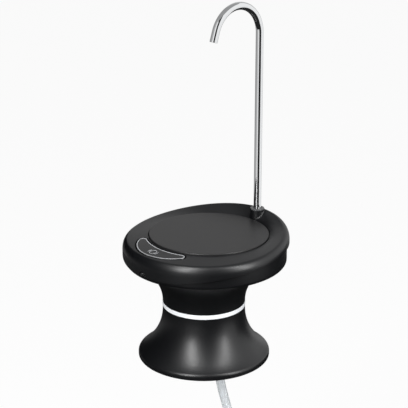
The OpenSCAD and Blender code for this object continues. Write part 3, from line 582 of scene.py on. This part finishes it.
@dataclass
class Skirt:
    """Bell that widens to its rim, with the white band on top of it."""

    waist_r: float = 43.3
    flange_r: float = 69.4
    height: float = 57.1
    straight: float = 2.8
    lip_h: float = 4.2
    lip_in: float = 2.0
    hollow_share: float = 0.94
    wall: float = 2.4
    web_h: float = 7.0
    bore_r: float = 22.86
    screw_ring: float = 29.0
    screw_head_r: float = 2.9
    screw_head_h: float = 2.9
    screw_r: float = 1.8
    band_h: float = 4.7
    band_proud: float = 0.2
    band_edge: float = 0.5
    bevel: float = 0.3

    def section(self) -> list[Pair]:
        """Closed section of the bell and its top web.

        Returns:
            Radius and height of each point.
        """
        top = self.height - self.straight
        dr, dz = self.flange_r - self.waist_r, top - self.lip_h
        sweep_deg = degrees(2 * atan(dr / dz))
        total = dz / sin(radians(sweep_deg))
        hollow, rounded = total * self.hollow_share, total * (1 - self.hollow_share)
        hollow_c, round_c = (self.waist_r + hollow, top), (self.flange_r - rounded, self.lip_h)
        web = self.height - self.web_h
        inner = degrees(asin((top - web) / (hollow + self.wall)))
        return [
            (self.bore_r, self.height), (self.waist_r - self.bevel, self.height),
            (self.waist_r, self.height - self.bevel),
            *arc(hollow_c, hollow, 180, 180 + sweep_deg, 40), *arc(round_c, rounded, sweep_deg, 0, 20)[1:],
            *arc((self.flange_r - self.lip_in, self.lip_in), self.lip_in, 0, -90, 10),
            (self.flange_r - self.lip_in - self.wall, 0.0),
            *arc(round_c, rounded - self.wall, 0, sweep_deg, 12),
            *arc(hollow_c, hollow + self.wall, 180 + sweep_deg, 180 + inner, 20)[1:], (self.bore_r, web)]

    def build(self) -> None:
        """Make the bell and the band."""
        bell = Draft().add(revolve(self.section()), Closing.LOOP).build("bell_skirt")
        seat = self.height - self.web_h + self.screw_head_h
        hole = [(self.screw_head_r, -PAST), (self.screw_head_r, seat), (self.screw_r, seat),
                (self.screw_r, self.height + PAST)]
        corners = arc((0.0, 0.0), self.screw_ring, 45, 315, 3)
        carve(bell, [drum(corner, hole) for corner in corners])
        settle(bell, "housing", "black_abs", "skirt")
        top, r, e = self.height + self.band_h, self.waist_r + self.band_proud, self.band_edge
        band = [(self.bore_r, self.height), *arc((r - e, self.height + e), e, -90, 0, 6),
                *arc((r - e, top - e), e, 0, 90, 6), (self.bore_r, top)]
        ring = Draft().add(revolve(band), Closing.LOOP).build("white_trim_band")
        settle(ring, "housing", "white_band", "trim_ring")


@dataclass
class Head:
    """Waist, bowl and top shell with its rim, sloping deck and dish."""

    waist_r: float = 43.3
    flare_r: float = 44.6
    flare_end_r: float = 75.8
    foot_z: float = 61.8
    floor_z: float = 64.8
    bowl_z: float = 104.727
    bowl_r: float = 84.1
    bowl_edge_r: float = 4.5
    wall: float = 2.4
    head_r: float = 86.6
    head_dy: float = 2.8
    seam_r: float = 764.818
    seam_cy: float = 79.5939
    seam_cz: float = -638.038
    seam_gap: float = 0.3
    rim_front_z: float = 130.327
    rim_rise: float = 13.3
    rim_power: float = 2.6
    edge_front: Pair = (4.6, 11.0)
    edge_back: Pair = (6.6, 8.4)
    edge_crisp: float = 0.16
    recess_r: float = 62.9
    tray_dy: float = 7.0
    dish_z: float = 132.827
    pan_z: float = 130.927
    ceiling_z: float = 128.527
    deck_slope: float = 0.107296
    spout_y: float = 77.7
    boss_r: float = 7.5
    boss_top: float = 143.777
    socket_r: float = 6.05
    fillet: float = 1.4
    port_z: float = 112.327
    port_w: float = 9.0
    port_h: float = 3.8
    inlet: Pair = (14.0, 4.0)
    inlet_r: float = 5.2
    hub_r: float = 8.0
    seam_bevel: float = 0.3
    foot_bevel: float = 0.35
    dish_bevel: float = 0.25
    grow_share: float = 0.42
    lip_share: float = 0.93
    crest_share: float = 0.07
    deck_share: float = 0.985
    pan_insets: Pair = (20.0, 56.0)
    screw_r: float = 1.8
    screw_head_r: float = 3.2
    screw_sink: float = 1.5
    screw_low: float = 100.0
    bore_over: float = 20.0
    port_ends: float = 3.2
    port_span: Pair = (-2.0, 8.0)
    boss_draft: float = 0.4
    fillet_loss: float = 0.86
    fillet_front: Pair = (-0.55, -1.0)
    boss_step: float = 0.01
    turns: int = 240
    posts: tuple[Pair, ...] = (
        (23.943, 52.03), (-23.943, 52.03), (31.099, -40.888), (-31.099, -40.888))

    def seam(self, y: float, gap: float) -> float:
        """Height of the arched seam at a depth."""
        return self.seam_cz + sqrt((self.seam_r + gap) ** 2 - (y - self.seam_cy) ** 2)

    def ring(self, r: float, z: float, back: float) -> Ring:
        """Level ring round an axis that stands back from the waist's axis."""
        return [polar(r, a, back, z) for a in self.angles()]

    def seam_ring(self, r: float, gap: float, rise: float = 0.0) -> Ring:
        """Ring round the head's centre that follows the seam."""
        return [(x, y, self.seam(y, gap) + rise) for x, y, _ in self.ring(r, 0.0, self.head_dy)]

    def rim(self, angle: float) -> Point:
        """Form of the rim at an angle.

        Args:
            angle: Angle round the head's centre.

        Returns:
            Height of the rim, and width and height of its rounding.
        """
        share = (sin(angle) + 1) / 2
        height = self.rim_front_z + self.rim_rise * share ** self.rim_power
        return (height, *between(self.edge_front, self.edge_back, self.grow(angle)))

    def grow(self, angle: float) -> float:
        """How far the rounding has turned from its front form, 0, to its back form, 1."""
        return ease(0, self.grow_share, (sin(angle) + 1) / 2)

    def lip(self, angle: float, share: float) -> Point:
        """Point on the rounded rim.

        Args:
            angle: Angle round the head's centre.
            share: Way along the rounding, from the wall at 0 to the deck at 1.

        Returns:
            The point.
        """
        height, width, drop = self.rim(angle)
        dish = self.dish(angle)
        start = polar(self.head_r - width, angle, self.head_dy, 0.0)
        run = hypot(start[0] - dish[0], start[1] - dish[1])
        full = atan2(drop * run, width * max(0.0, self.dish_z - height))
        end = full * (1 - self.edge_crisp * (1 - self.grow(angle)))
        inset = width * (1 - cos(end * share)) * (1 - cos(full)) / (1 - cos(end))
        up = drop * sin(end * share) * sin(full) / sin(end)
        return polar(self.head_r - inset, angle, self.head_dy, height - drop + up)

    def dish(self, angle: float, inset: float = 0.0, z: float | None = None) -> Point:
        """Point on the dish's edge, or further in at another height."""
        return polar(self.recess_r - inset, angle, self.tray_dy, self.dish_z if z is None else z)

    def crest(self, angle: float, share: float) -> Point:
        """Point on the small round between the rim's lip and the deck.

        Args:
            angle: Angle round the head's centre.
            share: Way along the round, from the lip at 0 to the deck at 1.

        Returns:
            The point.
        """
        top = self.lip(angle, 1.0)
        sides = self.lip(angle, self.lip_share), between(top, self.dish(angle), self.crest_share)
        return between(between(sides[0], top, share), between(top, sides[1], share), share)

    def deck(self, x: float, y: float) -> float:
        """Height of the deck or rim at a place in plan.

        Args:
            x: Place to the right.
            y: Place to the back.

        Returns:
            The height.
        """
        angle = atan2(y - self.head_dy, x)
        r = hypot(x, y - self.head_dy)
        height, width, drop = self.rim(angle)
        lip, dish = self.lip(angle, 1.0), self.dish(angle)
        lip_r, dish_r = (hypot(p[0], p[1] - self.head_dy) for p in (lip, dish))
        if r > lip_r:
            out = min(1.0, max(0.0, (r - self.head_r) / width + 1))
            return height - drop + drop * sqrt(1 - out ** 2)
        return dish[2] + (lip[2] - dish[2]) * (r - dish_r) / (lip_r - dish_r)

    def angles(self) -> list[float]:
        """Angles of the sections, half a step off the axes."""
        return [2 * pi * (i + 0.5) / self.turns for i in range(self.turns)]

    def build_lower(self) -> None:
        """Make the waist and bowl up to the seam."""
        centre = self.waist_r + self.flare_r
        end = degrees(acos((centre - self.flare_end_r) / self.flare_r))
        inner_r, inner_end_r = self.flare_r + self.wall, self.flare_end_r - self.wall
        inner_end = degrees(acos((centre - inner_end_r) / inner_r))
        inner_start = degrees(asin((self.floor_z - self.foot_z) / inner_r))
        flare = arc((centre, self.foot_z), self.flare_r, 180, 180 - end, 48)
        inside = arc((centre, self.foot_z), inner_r, 180 - inner_start, 180 - inner_end, 24)
        e, bowl_in = self.bowl_edge_r, self.bowl_r - self.wall
        edge = arc((self.bowl_r - e, self.bowl_z + e), e, -90, 0, 12)
        rings = [self.ring(r, z, 0.0) for r, z in [(self.hub_r, self.foot_z), *flare]]
        rings += [self.ring(r, z, self.head_dy) for r, z in edge]
        rings.append(self.seam_ring(self.bowl_r, 0.0, -self.seam_bevel))
        rings += [self.seam_ring(r, 0.0) for r in (self.bowl_r - self.seam_bevel, bowl_in)]
        rings.append(self.ring(bowl_in, self.bowl_z + self.wall, self.head_dy))
        rings += [self.ring(r, z, 0.0) for r, z in [*inside[::-1], (self.hub_r, self.floor_z)]]
        shell = Draft().add(rings, Closing.CAPS).build("flared_waist")
        span = [(self.inlet_r, self.foot_z - PAST), (self.inlet_r, self.floor_z + PAST)]
        carve(shell, [drum(self.inlet, span, BORE_TURNS)])
        settle(shell, "housing", "black_abs", "lower_shell")

    def build_top(self, key_gap: Draft) -> None:
        """Make the top shell with its dish, slots and holes.

        Args:
            key_gap: Draft of the opening for the control key.
        """
        turns, start, bowl_in = self.angles(), self.crest_share, self.bowl_r - self.wall
        steps, rounds, spans = 14, 4, 10
        rings = [self.ring(r, self.ceiling_z, self.head_dy) for r in (self.hub_r, bowl_in)]
        rings += [self.seam_ring(r, self.seam_gap) for r in (bowl_in, self.head_r - self.foot_bevel)]
        rings.append(self.seam_ring(self.head_r, self.seam_gap, self.foot_bevel))
        rings += [[self.lip(a, self.lip_share * k / steps) for a in turns] for k in range(steps + 1)]
        rings += [[self.crest(a, k / rounds) for a in turns] for k in range(1, rounds)]
        for k in range(spans + 1):
            share = start + (self.deck_share - start) * k / spans
            rings.append([between(self.lip(a, 1.0), self.dish(a), share) for a in turns])
        rings.append([self.dish(a, 0.0, self.dish_z - self.dish_bevel) for a in turns])
        rings += [[self.dish(a, inset, self.pan_z) for a in turns] for inset in (0.0, *self.pan_insets)]
        shell = Draft().add(rings, Closing.CAPS).build("top_shell_skin")
        bore = [(self.socket_r, 0.0), (self.socket_r, self.boss_top + self.bore_over)]
        hole = [(self.screw_r, self.screw_low), (self.screw_r, self.pan_z - self.screw_sink),
                (self.screw_head_r, self.pan_z), (self.screw_head_r, self.pan_z + 2 * PAST)]
        carve(shell, [key_gap, self.port_slot(), drum((0.0, self.spout_y), bore, BORE_TURNS),
                      *(drum(p, hole) for p in self.posts)])
        settle(shell, "housing", "black_abs", "top_shell")

    def port_slot(self) -> Draft:
        """Draft of the charging port's slot in the front wall.

        Returns:
            A closed draft that goes through the wall.
        """
        r, span = self.port_h / 2, (self.port_w - self.port_ends) / 2
        outline = [*arc((span, self.port_z), r, -90, 90, 12), *arc((-span, self.port_z), r, 90, 270, 12)]
        depths = [self.head_dy - self.head_r + d for d in self.port_span]
        return Draft().add([[(x, y, z) for x, z in outline] for y in depths], Closing.CAPS)

    def build_boss(self) -> None:
        """Make the boss that carries the spout, with a fillet where it meets the rim."""
        count, steps, back = 96, 7, self.spout_y
        turns = [2 * pi * i / count for i in range(count)]

        def foot(angle: float, share: float) -> Point:
            """Point on the fillet, which thins out on the side of the dish.

            Args:
                angle: Angle round the spout's axis.
                share: Way along the fillet, from the boss at 0 to the deck at 1.

            Returns:
                The point.
            """
            front = ease(*self.fillet_front, sin(angle))
            size = self.fillet * (1 - self.fillet_loss * front)
            turn = share * pi / 2
            r = self.boss_r + size * (1 - cos(turn))
            x, y, _ = polar(r, angle, back, 0.0)
            low = self.deck(x, y) if y > self.tray_dy + self.recess_r else self.dish_z
            high = self.boss_top - self.boss_step * (1 + share)
            return polar(r, angle, back, min(low + size * (1 - sin(turn)), high))

        rings = [[polar(self.boss_r, a, back, self.boss_top) for a in turns]]
        rings += [[foot(a, k / steps) for a in turns] for k in range(steps + 1)]
        ends = ((self.boss_r - self.boss_draft, self.ceiling_z), (self.socket_r, self.ceiling_z),
                (self.socket_r, self.boss_top))
        rings += [[polar(r, a, back, z) for a in turns] for r, z in ends]
        boss = Draft().add(rings, Closing.LOOP).build("spout_boss", ROUND_CREASE)
        settle(boss, "housing", "black_abs")

    def build(self, key_gap: Draft) -> None:
        """Make both shells and the boss.

        Args:
            key_gap: Draft of the opening for the control key.
        """
        self.build_lower()
        self.build_top(key_gap)
        self.build_boss()


@dataclass
class TouchKey:
    """Crescent key on the deck of a head, with its silver outline and mark."""

    head: Head
    inner_r: float = 65.1
    width: float = 18.4
    end_width: float = 7.2
    half_angle: float = 30.5
    turn: float = -3.5
    corner: float = 4.32
    gap: float = 1.2
    gap_over: float = 8.0
    proud: float = 0.15
    thickness: float = 2.2
    edge: float = 0.22
    edge_cut: float = 0.3
    line_inset: float = 0.7
    line_width: float = 0.8
    line_proud: float = 0.2
    line_edge: float = 0.06
    mark_r: float = 3.9
    mark_w: float = 0.5
    mark_turns: int = 64
    wave_r: float = 5.9
    wave_angle: float = 26.5
    wave_spans: int = 12
    mark_turn: float = -1.75
    mark_reach: float = 74.3
    stem_y: float = -67.3
    stem_r: float = 3.0
    stem_foot: float = 118.127
    side_spans: int = 700
    end_spans: int = 80
    corner_spans: int = 12
    half_points: int = 120
    rows: int = 10

    def sides(self) -> list[list[Vector]]:
        """The four sides of the crescent in plan, round the dish's centre, with sharp corners.

        Returns:
            Points of the outer side, the right end, the inner side and the left end.
        """
        def at(r: float, t: float) -> Vector:
            """Point at a radius and a share of the half angle."""
            a = radians(self.turn + self.half_angle * t)
            return Vector((r * sin(a), -r * cos(a)))

        def end(first: Vector, last: Vector) -> list[Vector]:
            """Straight end between two corners."""
            return [first.lerp(last, i / self.end_spans) for i in range(self.end_spans + 1)]

        shares = [2 * i / self.side_spans - 1 for i in range(self.side_spans + 1)]
        grow = self.width - self.end_width
        outer = [at(self.inner_r + self.end_width + grow * (1 - t * t), t) for t in shares]
        inner = [at(self.inner_r, -t) for t in shares]
        return [outer, end(outer[-1], inner[0]), inner, end(inner[-1], outer[0])]

    def outline(self) -> list[Vector]:
        """Crescent with round corners.

        Returns:
            An even loop that starts at the middle of the left end.
        """
        sides, middle, slack = self.sides(), self.end_spans // 2, 1.0
        normals = [[Vector((-(q - p).y, (q - p).x)).normalized() for p, q in zip(s, s[1:])] for s in sides]
        cuts = []
        for k in range(4):
            a, b, na = sides[k], sides[(k + 1) % 4], normals[k]
            best = None
            for i in range(len(na) - 1, 0, -1):
                centre = a[i] + na[i] * self.corner
                j = min(range(len(b)), key=lambda m: (b[m] - centre).length_squared)
                miss = abs((b[j] - centre).length - self.corner)
                if best is None or miss < best[0]:
                    best = (miss, i, j, centre)
                elif miss > best[0] + slack:
                    break
            cuts.append(best)
        loop: list[Vector] = []
        for k in range(4):
            start, end = cuts[k - 1][2], cuts[k][1]
            loop += sides[k][start:end + 1]
            centre, first, last = cuts[k][3], sides[k][end], sides[(k + 1) % 4][cuts[k][2]]
            u, v = first - centre, last - centre
            swing = u.angle_signed(v, 0.0)
            base = atan2(u.y, u.x)
            for s in range(1, self.corner_spans):
                a = base - swing * s / self.corner_spans
                loop.append(centre + Vector((cos(a), sin(a))) * self.corner)
        start = min(range(len(loop)), key=lambda m: (loop[m] - sides[3][middle]).length)
        return self.even(loop[start:] + loop[:start], sides[1][middle])

    def even(self, loop: list[Vector], turning: Vector) -> list[Vector]:
        """Loop with the same number of points on its outer and inner half.

        Args:
            loop: Closed loop.
            turning: Place where the second half starts.

        Returns:
            Points at even steps along each half.
        """
        middle = min(range(len(loop)), key=lambda m: (loop[m] - turning).length)
        halves = [loop[:middle + 1], loop[middle:] + loop[:1]]
        points = []
        for half in halves:
            reach = [0.0]
            for p, q in zip(half, half[1:]):
                reach.append(reach[-1] + (q - p).length)
            k = 0
            for i in range(self.half_points):
                want = reach[-1] * i / self.half_points
                while reach[k + 1] < want:
                    k += 1
                share = (want - reach[k]) / max(reach[k + 1] - reach[k], 1e-9)
                points.append(half[k].lerp(half[k + 1], share))
        return points

    def offset(self, loop: list[Vector], grow: float) -> list[Vector]:
        """Loop moved along its normals.

        Args:
            loop: Closed loop.
            grow: Way out, or in where it is negative.

        Returns:
            The moved loop.
        """
        n = len(loop)
        along = [(loop[(i + 1) % n] - loop[i - 1]).normalized() for i in range(n)]
        return [p + Vector((d.y, -d.x)) * grow for p, d in zip(loop, along)]

    def lift(self, loop: Sequence[Vector], rise: float) -> Ring:
        """Loop in plan round the dish's centre, laid on the deck's cone and raised."""
        head = self.head
        return [(p.x, p.y + head.tray_dy, head.dish_z - head.deck_slope * (p.length - head.recess_r) + rise)
                for p in loop]

    def bands(self, loop: list[Vector], edges: Sequence[Pair]) -> list[Ring]:
        """Rings on the deck from the loop, each moved out and raised by an edge's pair."""
        return [self.lift(self.offset(loop, grow), rise) for grow, rise in edges]

    def opening(self) -> Draft:
        """Draft of the gap that the key sits in.

        Returns:
            A closed draft that goes through the deck.
        """
        loop, back = self.offset(self.outline(), self.gap), self.head.tray_dy
        heights = (self.head.ceiling_z - PAST, self.head.dish_z + self.gap_over)
        return Draft().add([[(p.x, p.y + back, z) for p in loop] for z in heights], Closing.CAPS)

    def build(self) -> None:
        """Make the key's plate, its line and its mark."""
        loop, e, top = self.outline(), self.edge, self.proud
        cut = self.edge_cut * e
        rounds = [(0.0, top - self.thickness), (0.0, top - e), (-cut, top - cut), (-e, top)]
        plate = Draft().add(self.bands(loop, rounds), Closing.CAPS)
        del plate.faces[-2:]
        for row in (0, len(rounds) - 1):
            grow, rise = rounds[row]
            self.fill(plate, self.offset(loop, grow), rise, row * len(loop))
        stem = [(self.stem_r, self.stem_foot), (self.stem_r, self.head.dish_z - self.thickness)]
        plate.add(revolve(stem, (0.0, self.stem_y), SCREW_TURNS), Closing.CAPS)
        settle(plate.build("touch_key"), "key", "key_black", "control_key")
        self.build_line(loop)
        self.build_mark()

    def fill(self, plate: Draft, loop: list[Vector], rise: float, base: int) -> None:
        """Close a face of the key with rows from its outer to its inner side.

        Args:
            plate: Draft that takes the faces.
            loop: Loop of the face's edge in plan.
            rise: Height over the deck.
            base: Number of the loop's first point in the draft.
        """
        n, half = len(loop), self.half_points
        rows = [[base + i for i in range(half + 1)]]
        for row in range(1, self.rows):
            first = len(plate.points)
            share = row / self.rows
            inside = [loop[i].lerp(loop[(n - i) % n], share) for i in range(1, half)]
            plate.points += self.lift(inside, rise)
            rows.append([base, *range(first, first + half - 1), base + half])
        rows.append([base + (n - i) % n for i in range(half + 1)])
        for a, b in zip(rows, rows[1:]):
            for i in range(half):
                plate.faces.append(list(dict.fromkeys([a[i], a[i + 1], b[i + 1], b[i]])))

    def build_line(self, loop: list[Vector]) -> None:
        """Make the silver line round the key.

        Args:
            loop: The key's outline.
        """
        out, inn, e = -self.line_inset, -self.line_inset - self.line_width, self.line_edge
        low, high = self.proud, self.proud + self.line_proud
        edges = [(out, low), (out, high - e), (out - e, high), (inn + e, high), (inn, high - e), (inn, low)]
        line = Draft().add(self.bands(loop, edges), Closing.LOOP).build("key_line")
        settle(line, "key", "silver_print", "key_outline")

    def build_mark(self) -> None:
        """Make the ring and two side waves of the key's mark."""
        a = radians(self.mark_turn)
        centre = Vector((self.mark_reach * sin(a), -self.mark_reach * cos(a)))
        low, high, w = self.proud, self.proud + self.line_proud, self.mark_w

        def band(radius: float, angle: float) -> Ring:
            """Corners of the mark's stroke at an angle."""
            way = Vector((cos(angle), sin(angle)))
            return [self.lift([centre + way * r], z)[0] for r, z in
                    ((radius, low), (radius, high), (radius - w, high), (radius - w, low))]

        mark, turns, n = Draft(), self.mark_turns, self.wave_spans
        corners = [band(self.mark_r, 2 * pi * i / turns) for i in range(turns)]
        mark.add([list(ring) for ring in zip(*corners)], Closing.LOOP)
        swings = [radians(self.wave_angle) * (i / n - 1) for i in range(2 * n + 1)]
        for side in (0.0, pi):
            mark.add([band(self.wave_r, side + a + swing) for swing in swings], Closing.CAPS)
        settle(mark.build("key_mark"), "key", "silver_print", "key_icon")


@dataclass
class Tray:
    """Round plate in the dish, where a cup stands."""

    radius: float = 62.4
    dy: float = 7.0
    top: float = 134.527
    foot: float = 131.027
    plate: float = 2.0
    rim: float = 2.2
    edge: float = 0.8
    bevel: float = 0.2
    hub_r: float = 2.0
    flat_r: float = 30.0
    flat_inset: float = 3.0

    def build(self) -> None:
        """Make the plate with a rounded edge and an open underside."""
        r, e, top, inner = self.radius, self.edge, self.top, self.radius - self.rim
        profile = [(self.hub_r, top - self.plate), (inner, top - self.plate), (inner, self.foot),
                   (r - self.bevel, self.foot), (r, self.foot + self.bevel),
                   *arc((r - e, top - e), e, 0, 90, 8), (r - self.flat_inset, top),
                   (self.flat_r, top), (self.hub_r, top)]
        rings = revolve(profile, (0.0, self.dy))
        plate = Draft().add(rings, Closing.CAPS).build("tray_plate_disc", ROUND_CREASE)
        settle(plate, "tray", "tray_black", "tray_plate")


@dataclass
class Spout:
    """Polished gooseneck and the socket that it turns in."""

    y: float = 77.7
    radius: float = 4.0
    wall: float = 0.5
    foot: float = 124.277
    bend_z: float = 334.5
    bend_r: float = 31.5
    bend_angle: float = 162.0
    end: float = 11.0
    flange_r: float = 7.5
    flange_h: float = 1.5
    top: float = 145.277
    socket_r: float = 6.0
    socket_low_r: float = 5.0
    ceiling: float = 128.527
    barb_z: float = 118.3
    barb_r: float = 2.5
    barb_l: float = 16.0
    barb_bore: float = 1.5
    barb_drop: float = 4.0
    barb_turns: int = 24
    groove_r: float = 5.3
    groove_h: float = 2.0
    grooves: Pair = (131.277, 138.277)
    run_gap: float = 0.1
    foot_gap: float = 0.2
    throat_r: float = 2.0
    mouth: float = 0.4
    flange_edge: float = 0.45
    flange_bevel: float = 0.2
    socket_turns: int = 96
    lip: float = 0.12
    turns: int = 64
    rise_spans: int = 12
    arch_spans: int = 60
    end_spans: int = 3

    def line(self) -> list[Vector]:
        """Centreline from the foot to the outlet.

        Returns:
            Points of the rise, the arch and the straight end.
        """
        n, height = self.rise_spans, self.bend_z - self.foot
        rise = [Vector((0, self.y, self.foot + height * i / n)) for i in range(n)]
        arch = [Vector((0, self.y - self.bend_r + p, self.bend_z + q))
                for p, q in arc((0.0, 0.0), self.bend_r, 0, self.bend_angle, self.arch_spans)]
        a = radians(self.bend_angle)
        reach = Vector((0, -sin(a), cos(a))) * self.end
        return rise + arch + [arch[-1] + reach * i / self.end_spans for i in range(1, self.end_spans + 1)]

    def build(self) -> None:
        """Make the tube and its socket."""
        line, side, bore = self.line(), Vector((1, 0, 0)), self.radius - self.wall
        outer, inner = (sweep(line, r, self.turns, side) for r in (self.radius, bore))
        radii = (self.radius - self.lip, bore + self.lip)
        lips = [sweep(line[-2:], r, self.turns, side)[-1] for r in radii]
        back = (line[-2] - line[-1]).normalized() * self.lip
        for skin in (outer, inner):
            skin[-1] = [tuple(Vector(p) + back) for p in skin[-1]]
        tube = Draft().add(outer + lips + inner[::-1], Closing.LOOP).build("gooseneck", ROUND_CREASE)
        settle(tube, "spout", "polished_steel", "spout_tube")
        self.build_socket()

    def build_socket(self) -> None:
        """Make the socket with its flange, ring grooves and barb."""
        e, b, r, hole = self.flange_edge, self.flange_bevel, self.flange_r, self.radius + self.run_gap
        under, low, foot = self.top - self.flange_h, self.barb_z - self.barb_drop, self.foot - self.foot_gap
        half = self.groove_h / 2
        groove = ((hole, -half), (self.groove_r, -half), (self.groove_r, half), (hole, half))
        inside = [(x, z + side) for z in self.grooves for x, side in groove]
        profile = [(hole, foot), *inside, (hole, self.top - self.mouth), (hole + self.mouth, self.top),
                   *arc((r - e, self.top - e), e, 90, 0, 6), *arc((r - b, under + b), b, 0, -90, 3),
                   (self.socket_r, under), (self.socket_r, self.ceiling), (self.socket_low_r, self.ceiling),
                   (self.socket_low_r, low), (self.throat_r, low), (self.throat_r, foot)]
        socket = Draft().add(revolve(profile, (0.0, self.y), self.socket_turns), Closing.LOOP)
        out, bore, length = self.barb_r, self.barb_bore, self.barb_l
        rings = revolve([(out, 0.0), (out, length), (bore, length), (bore, 0.0)], turns=self.barb_turns)
        socket.add([[(x, self.y - z, self.barb_z + y) for x, y, z in ring] for ring in rings], Closing.LOOP)
        settle(socket.build("spout_collar", ROUND_CREASE), "housing", "spout_grey", "spout_socket")


@dataclass
class Inside:
    """Nodes of the frame that keep their own shape."""

    crease: float = 28.0

    def build(self) -> None:
        """Give every node that still shows its procedural finish."""
        slots = {part["node"]: part["material_slot"] for part in frame["record"]["subparts"]}
        for name, node in frame["nodes"].items():
            if node.hide_render:
                continue
            dress(node, slots[name])
            soften(node, self.crease)
            LOG.info("%s keeps its shape in %s", name, slots[name])


@dataclass
class Studio:
    """Pale floor, white surround, soft lamps and screens, sized in metres."""

    floor_z: float = -0.305
    floor_reach: float = 6.0
    floor_paint: float = 0.8
    floor_glow: float = 0.93
    fill: float = 0.36
    lamp_aim: float = 0.12
    lamp_reach: float = 1.6
    screen_lift: float = 0.002
    screen_spans: int = 24

    def surround(self, graph: Graph, plain: float) -> Value:
        """White for what the camera, metal and glass see, and a plain level for the rest.

        Args:
            graph: Tree that takes the nodes.
            plain: Strength for all other rays.

        Returns:
            The strength.
        """
        rays = [graph.node("ShaderNodeLightPath", {}, {}, f"Is {kind} Ray")
                for kind in ("Camera", "Glossy", "Transmission")]
        seen = (rays[0] + rays[1] + rays[2]) > 0.5
        return seen * (1 - plain) + plain

    def build_floor(self) -> None:
        """Make the floor, which is white to the eye and still takes a shadow."""
        r, z = self.floor_reach, self.floor_z
        floor = add_mesh("floor", [(-r, -r, z), (r, -r, z), (r, r, z), (-r, r, z)], [(0, 1, 2, 3)])
        material, graph = blank("pale_floor")
        paint = graph.node("ShaderNodeBsdfDiffuse", {}, {"Color": grey(self.floor_paint)})
        glow = graph.node("ShaderNodeEmission", {}, {"Color": grey(1.0)})
        share = self.surround(graph, 0.0) * self.floor_glow
        both = graph.node("ShaderNodeMixShader", {}, {0: share, 1: paint, 2: glow})
        graph.node("ShaderNodeOutputMaterial", {}, {"Surface": both})
        floor.data.materials.append(material)

    def build_world(self) -> None:
        """Make the white surround."""
        world = bpy.data.worlds.new("surround")
        world.use_nodes = True
        graph = Graph(world.node_tree)
        sky = graph.node("ShaderNodeBackground", {}, {
            "Color": grey(1.0), "Strength": self.surround(graph, self.fill)})
        graph.node("ShaderNodeOutputWorld", {}, {"Surface": sky})
        bpy.context.scene.world = world

    def lamp(self, name: str, azimuth: float, elevation: float, size: Pair, power: float) -> None:
        """Make a soft lamp that looks at the head and spares the bright tube.

        Args:
            name: Name of the lamp.
            azimuth: Direction round the object, in the camera's own angles.
            elevation: Angle over the ground.
            size: Width and height of its panel in metres.
            power: Power in watts.
        """
        way = direction(azimuth, elevation)
        data = bpy.data.lights.new(name, "AREA")
        data.shape, data.energy = "RECTANGLE", power
        data.size, data.size_y = size
        at = Vector((0.0, 0.0, self.lamp_aim)) + way * self.lamp_reach
        self.limit(add_aimed(data, at, way), Reach.NOT_TUBE)

    def limit(self, source: Object, reach: Reach) -> None:
        """Limit the pieces that a light source reaches.

        Args:
            source: Lamp or glowing screen.
            reach: Which pieces it reaches.
        """
        linked = bpy.data.collections.new(f"{source.name}_link")
        linked.objects.link(bpy.data.objects["gooseneck"])
        source.light_linking.receiver_collection = linked
        linked.collection_objects[0].light_linking.link_state = reach.value

    def screen(self, name: str, turn: Pair, reach: Pair, height: Pair, shade: float,
               tube: bool = False) -> None:
        """Stand or lay a curved screen round the object, which only shiny surfaces see.

        Args:
            name: Name of the screen.
            turn: First and last direction, in the camera's own angles.
            reach: Distance of its lower and upper edge from the axis, in metres.
            height: Height of its lower and upper edge, in metres.
            shade: Brightness from 0 to 1.
            tube: True where it is bright for the polished tube and black for the rest.
        """
        spans, n = self.screen_spans, self.screen_spans + 1
        points = [Vector((*p, z)) for r, z in zip(reach, height)
                  for p in arc((0.0, 0.0), r, turn[0] - 90, turn[1] - 90, spans)]
        obj = add_mesh(name, points, [(i, i + 1, n + i + 1, n + i) for i in range(spans)])
        material, graph = blank(name)
        glow = graph.node("ShaderNodeEmission", {}, {"Color": grey(shade)})
        graph.node("ShaderNodeOutputMaterial", {}, {"Surface": glow})
        obj.data.materials.append(material)
        obj.visible_camera = obj.visible_diffuse = obj.visible_transmission = obj.visible_shadow = False
        if tube:
            self.limit(obj, Reach.ONLY_TUBE)

    def build(self) -> None:
        """Make floor, surround, lamps and screens."""
        bpy.context.scene.view_settings.view_transform = "Standard"
        self.build_floor()
        self.build_world()
        self.lamp("lamp_left", 17.5, 37.0, (0.16, 1.5), 27.5)
        self.lamp("lamp_right", 99.0, 33.0, (0.26, 1.7), 22.0)
        ground = (self.floor_z + self.screen_lift,) * 2
        self.screen("screen_ground", (0, 360), (0.01, 1.3), ground, 0.02)
        sectors = ((227, 320, 0.34), (320, 360, 0.5), (0, 38, 0.87), (38, 97, 0.01), (150, 227, 0.46))
        for start, end, shade in sectors:
            self.screen(f"screen_floor_{start}", (start, end), (1.3, 2.8), ground, shade)
        self.screen("screen_top", (0, 360), (0.01, 1.8), (2.2, 2.2), 0.36)
        upright = (
            ("back", (184, 243), 1.6, (-0.05, 2.1), 0.52, False),
            ("right", (136, 184), 1.1, (-0.3, 0.1), 0.95, True),
            ("far_left", (243, 322), 1.4, (-0.15, 2.1), 0.34, True),
            ("left", (-38, 2), 1.3, (-0.2, 2.1), 0.5, True),
            ("low", (2, 38), 1.1, (-0.03, 0.25), 0.87, True),
            ("middle", (38, 53), 1.1, (-0.03, 0.25), 0.02, False),
            ("front", (53, 97), 1.1, (-0.3, 0.25), 0.02, False),
            ("high", (35, 78), 1.5, (0.25, 2.1), 0.03, False))
        for name, turn, reach, height, shade, tube in upright:
            self.screen(f"screen_{name}", turn, (reach, reach), height, shade, tube)


def main() -> None:
    """Build the scene in order."""
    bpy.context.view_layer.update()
    Viewpoint().build()
    SuctionHose().build()
    Skirt().build()
    head = Head()
    key = TouchKey(head)
    head.build(key.opening())
    key.build()
    Tray().build()
    Spout().build()
    Inside().build()
    Studio().build()


if __name__ == "__main__":
    main()
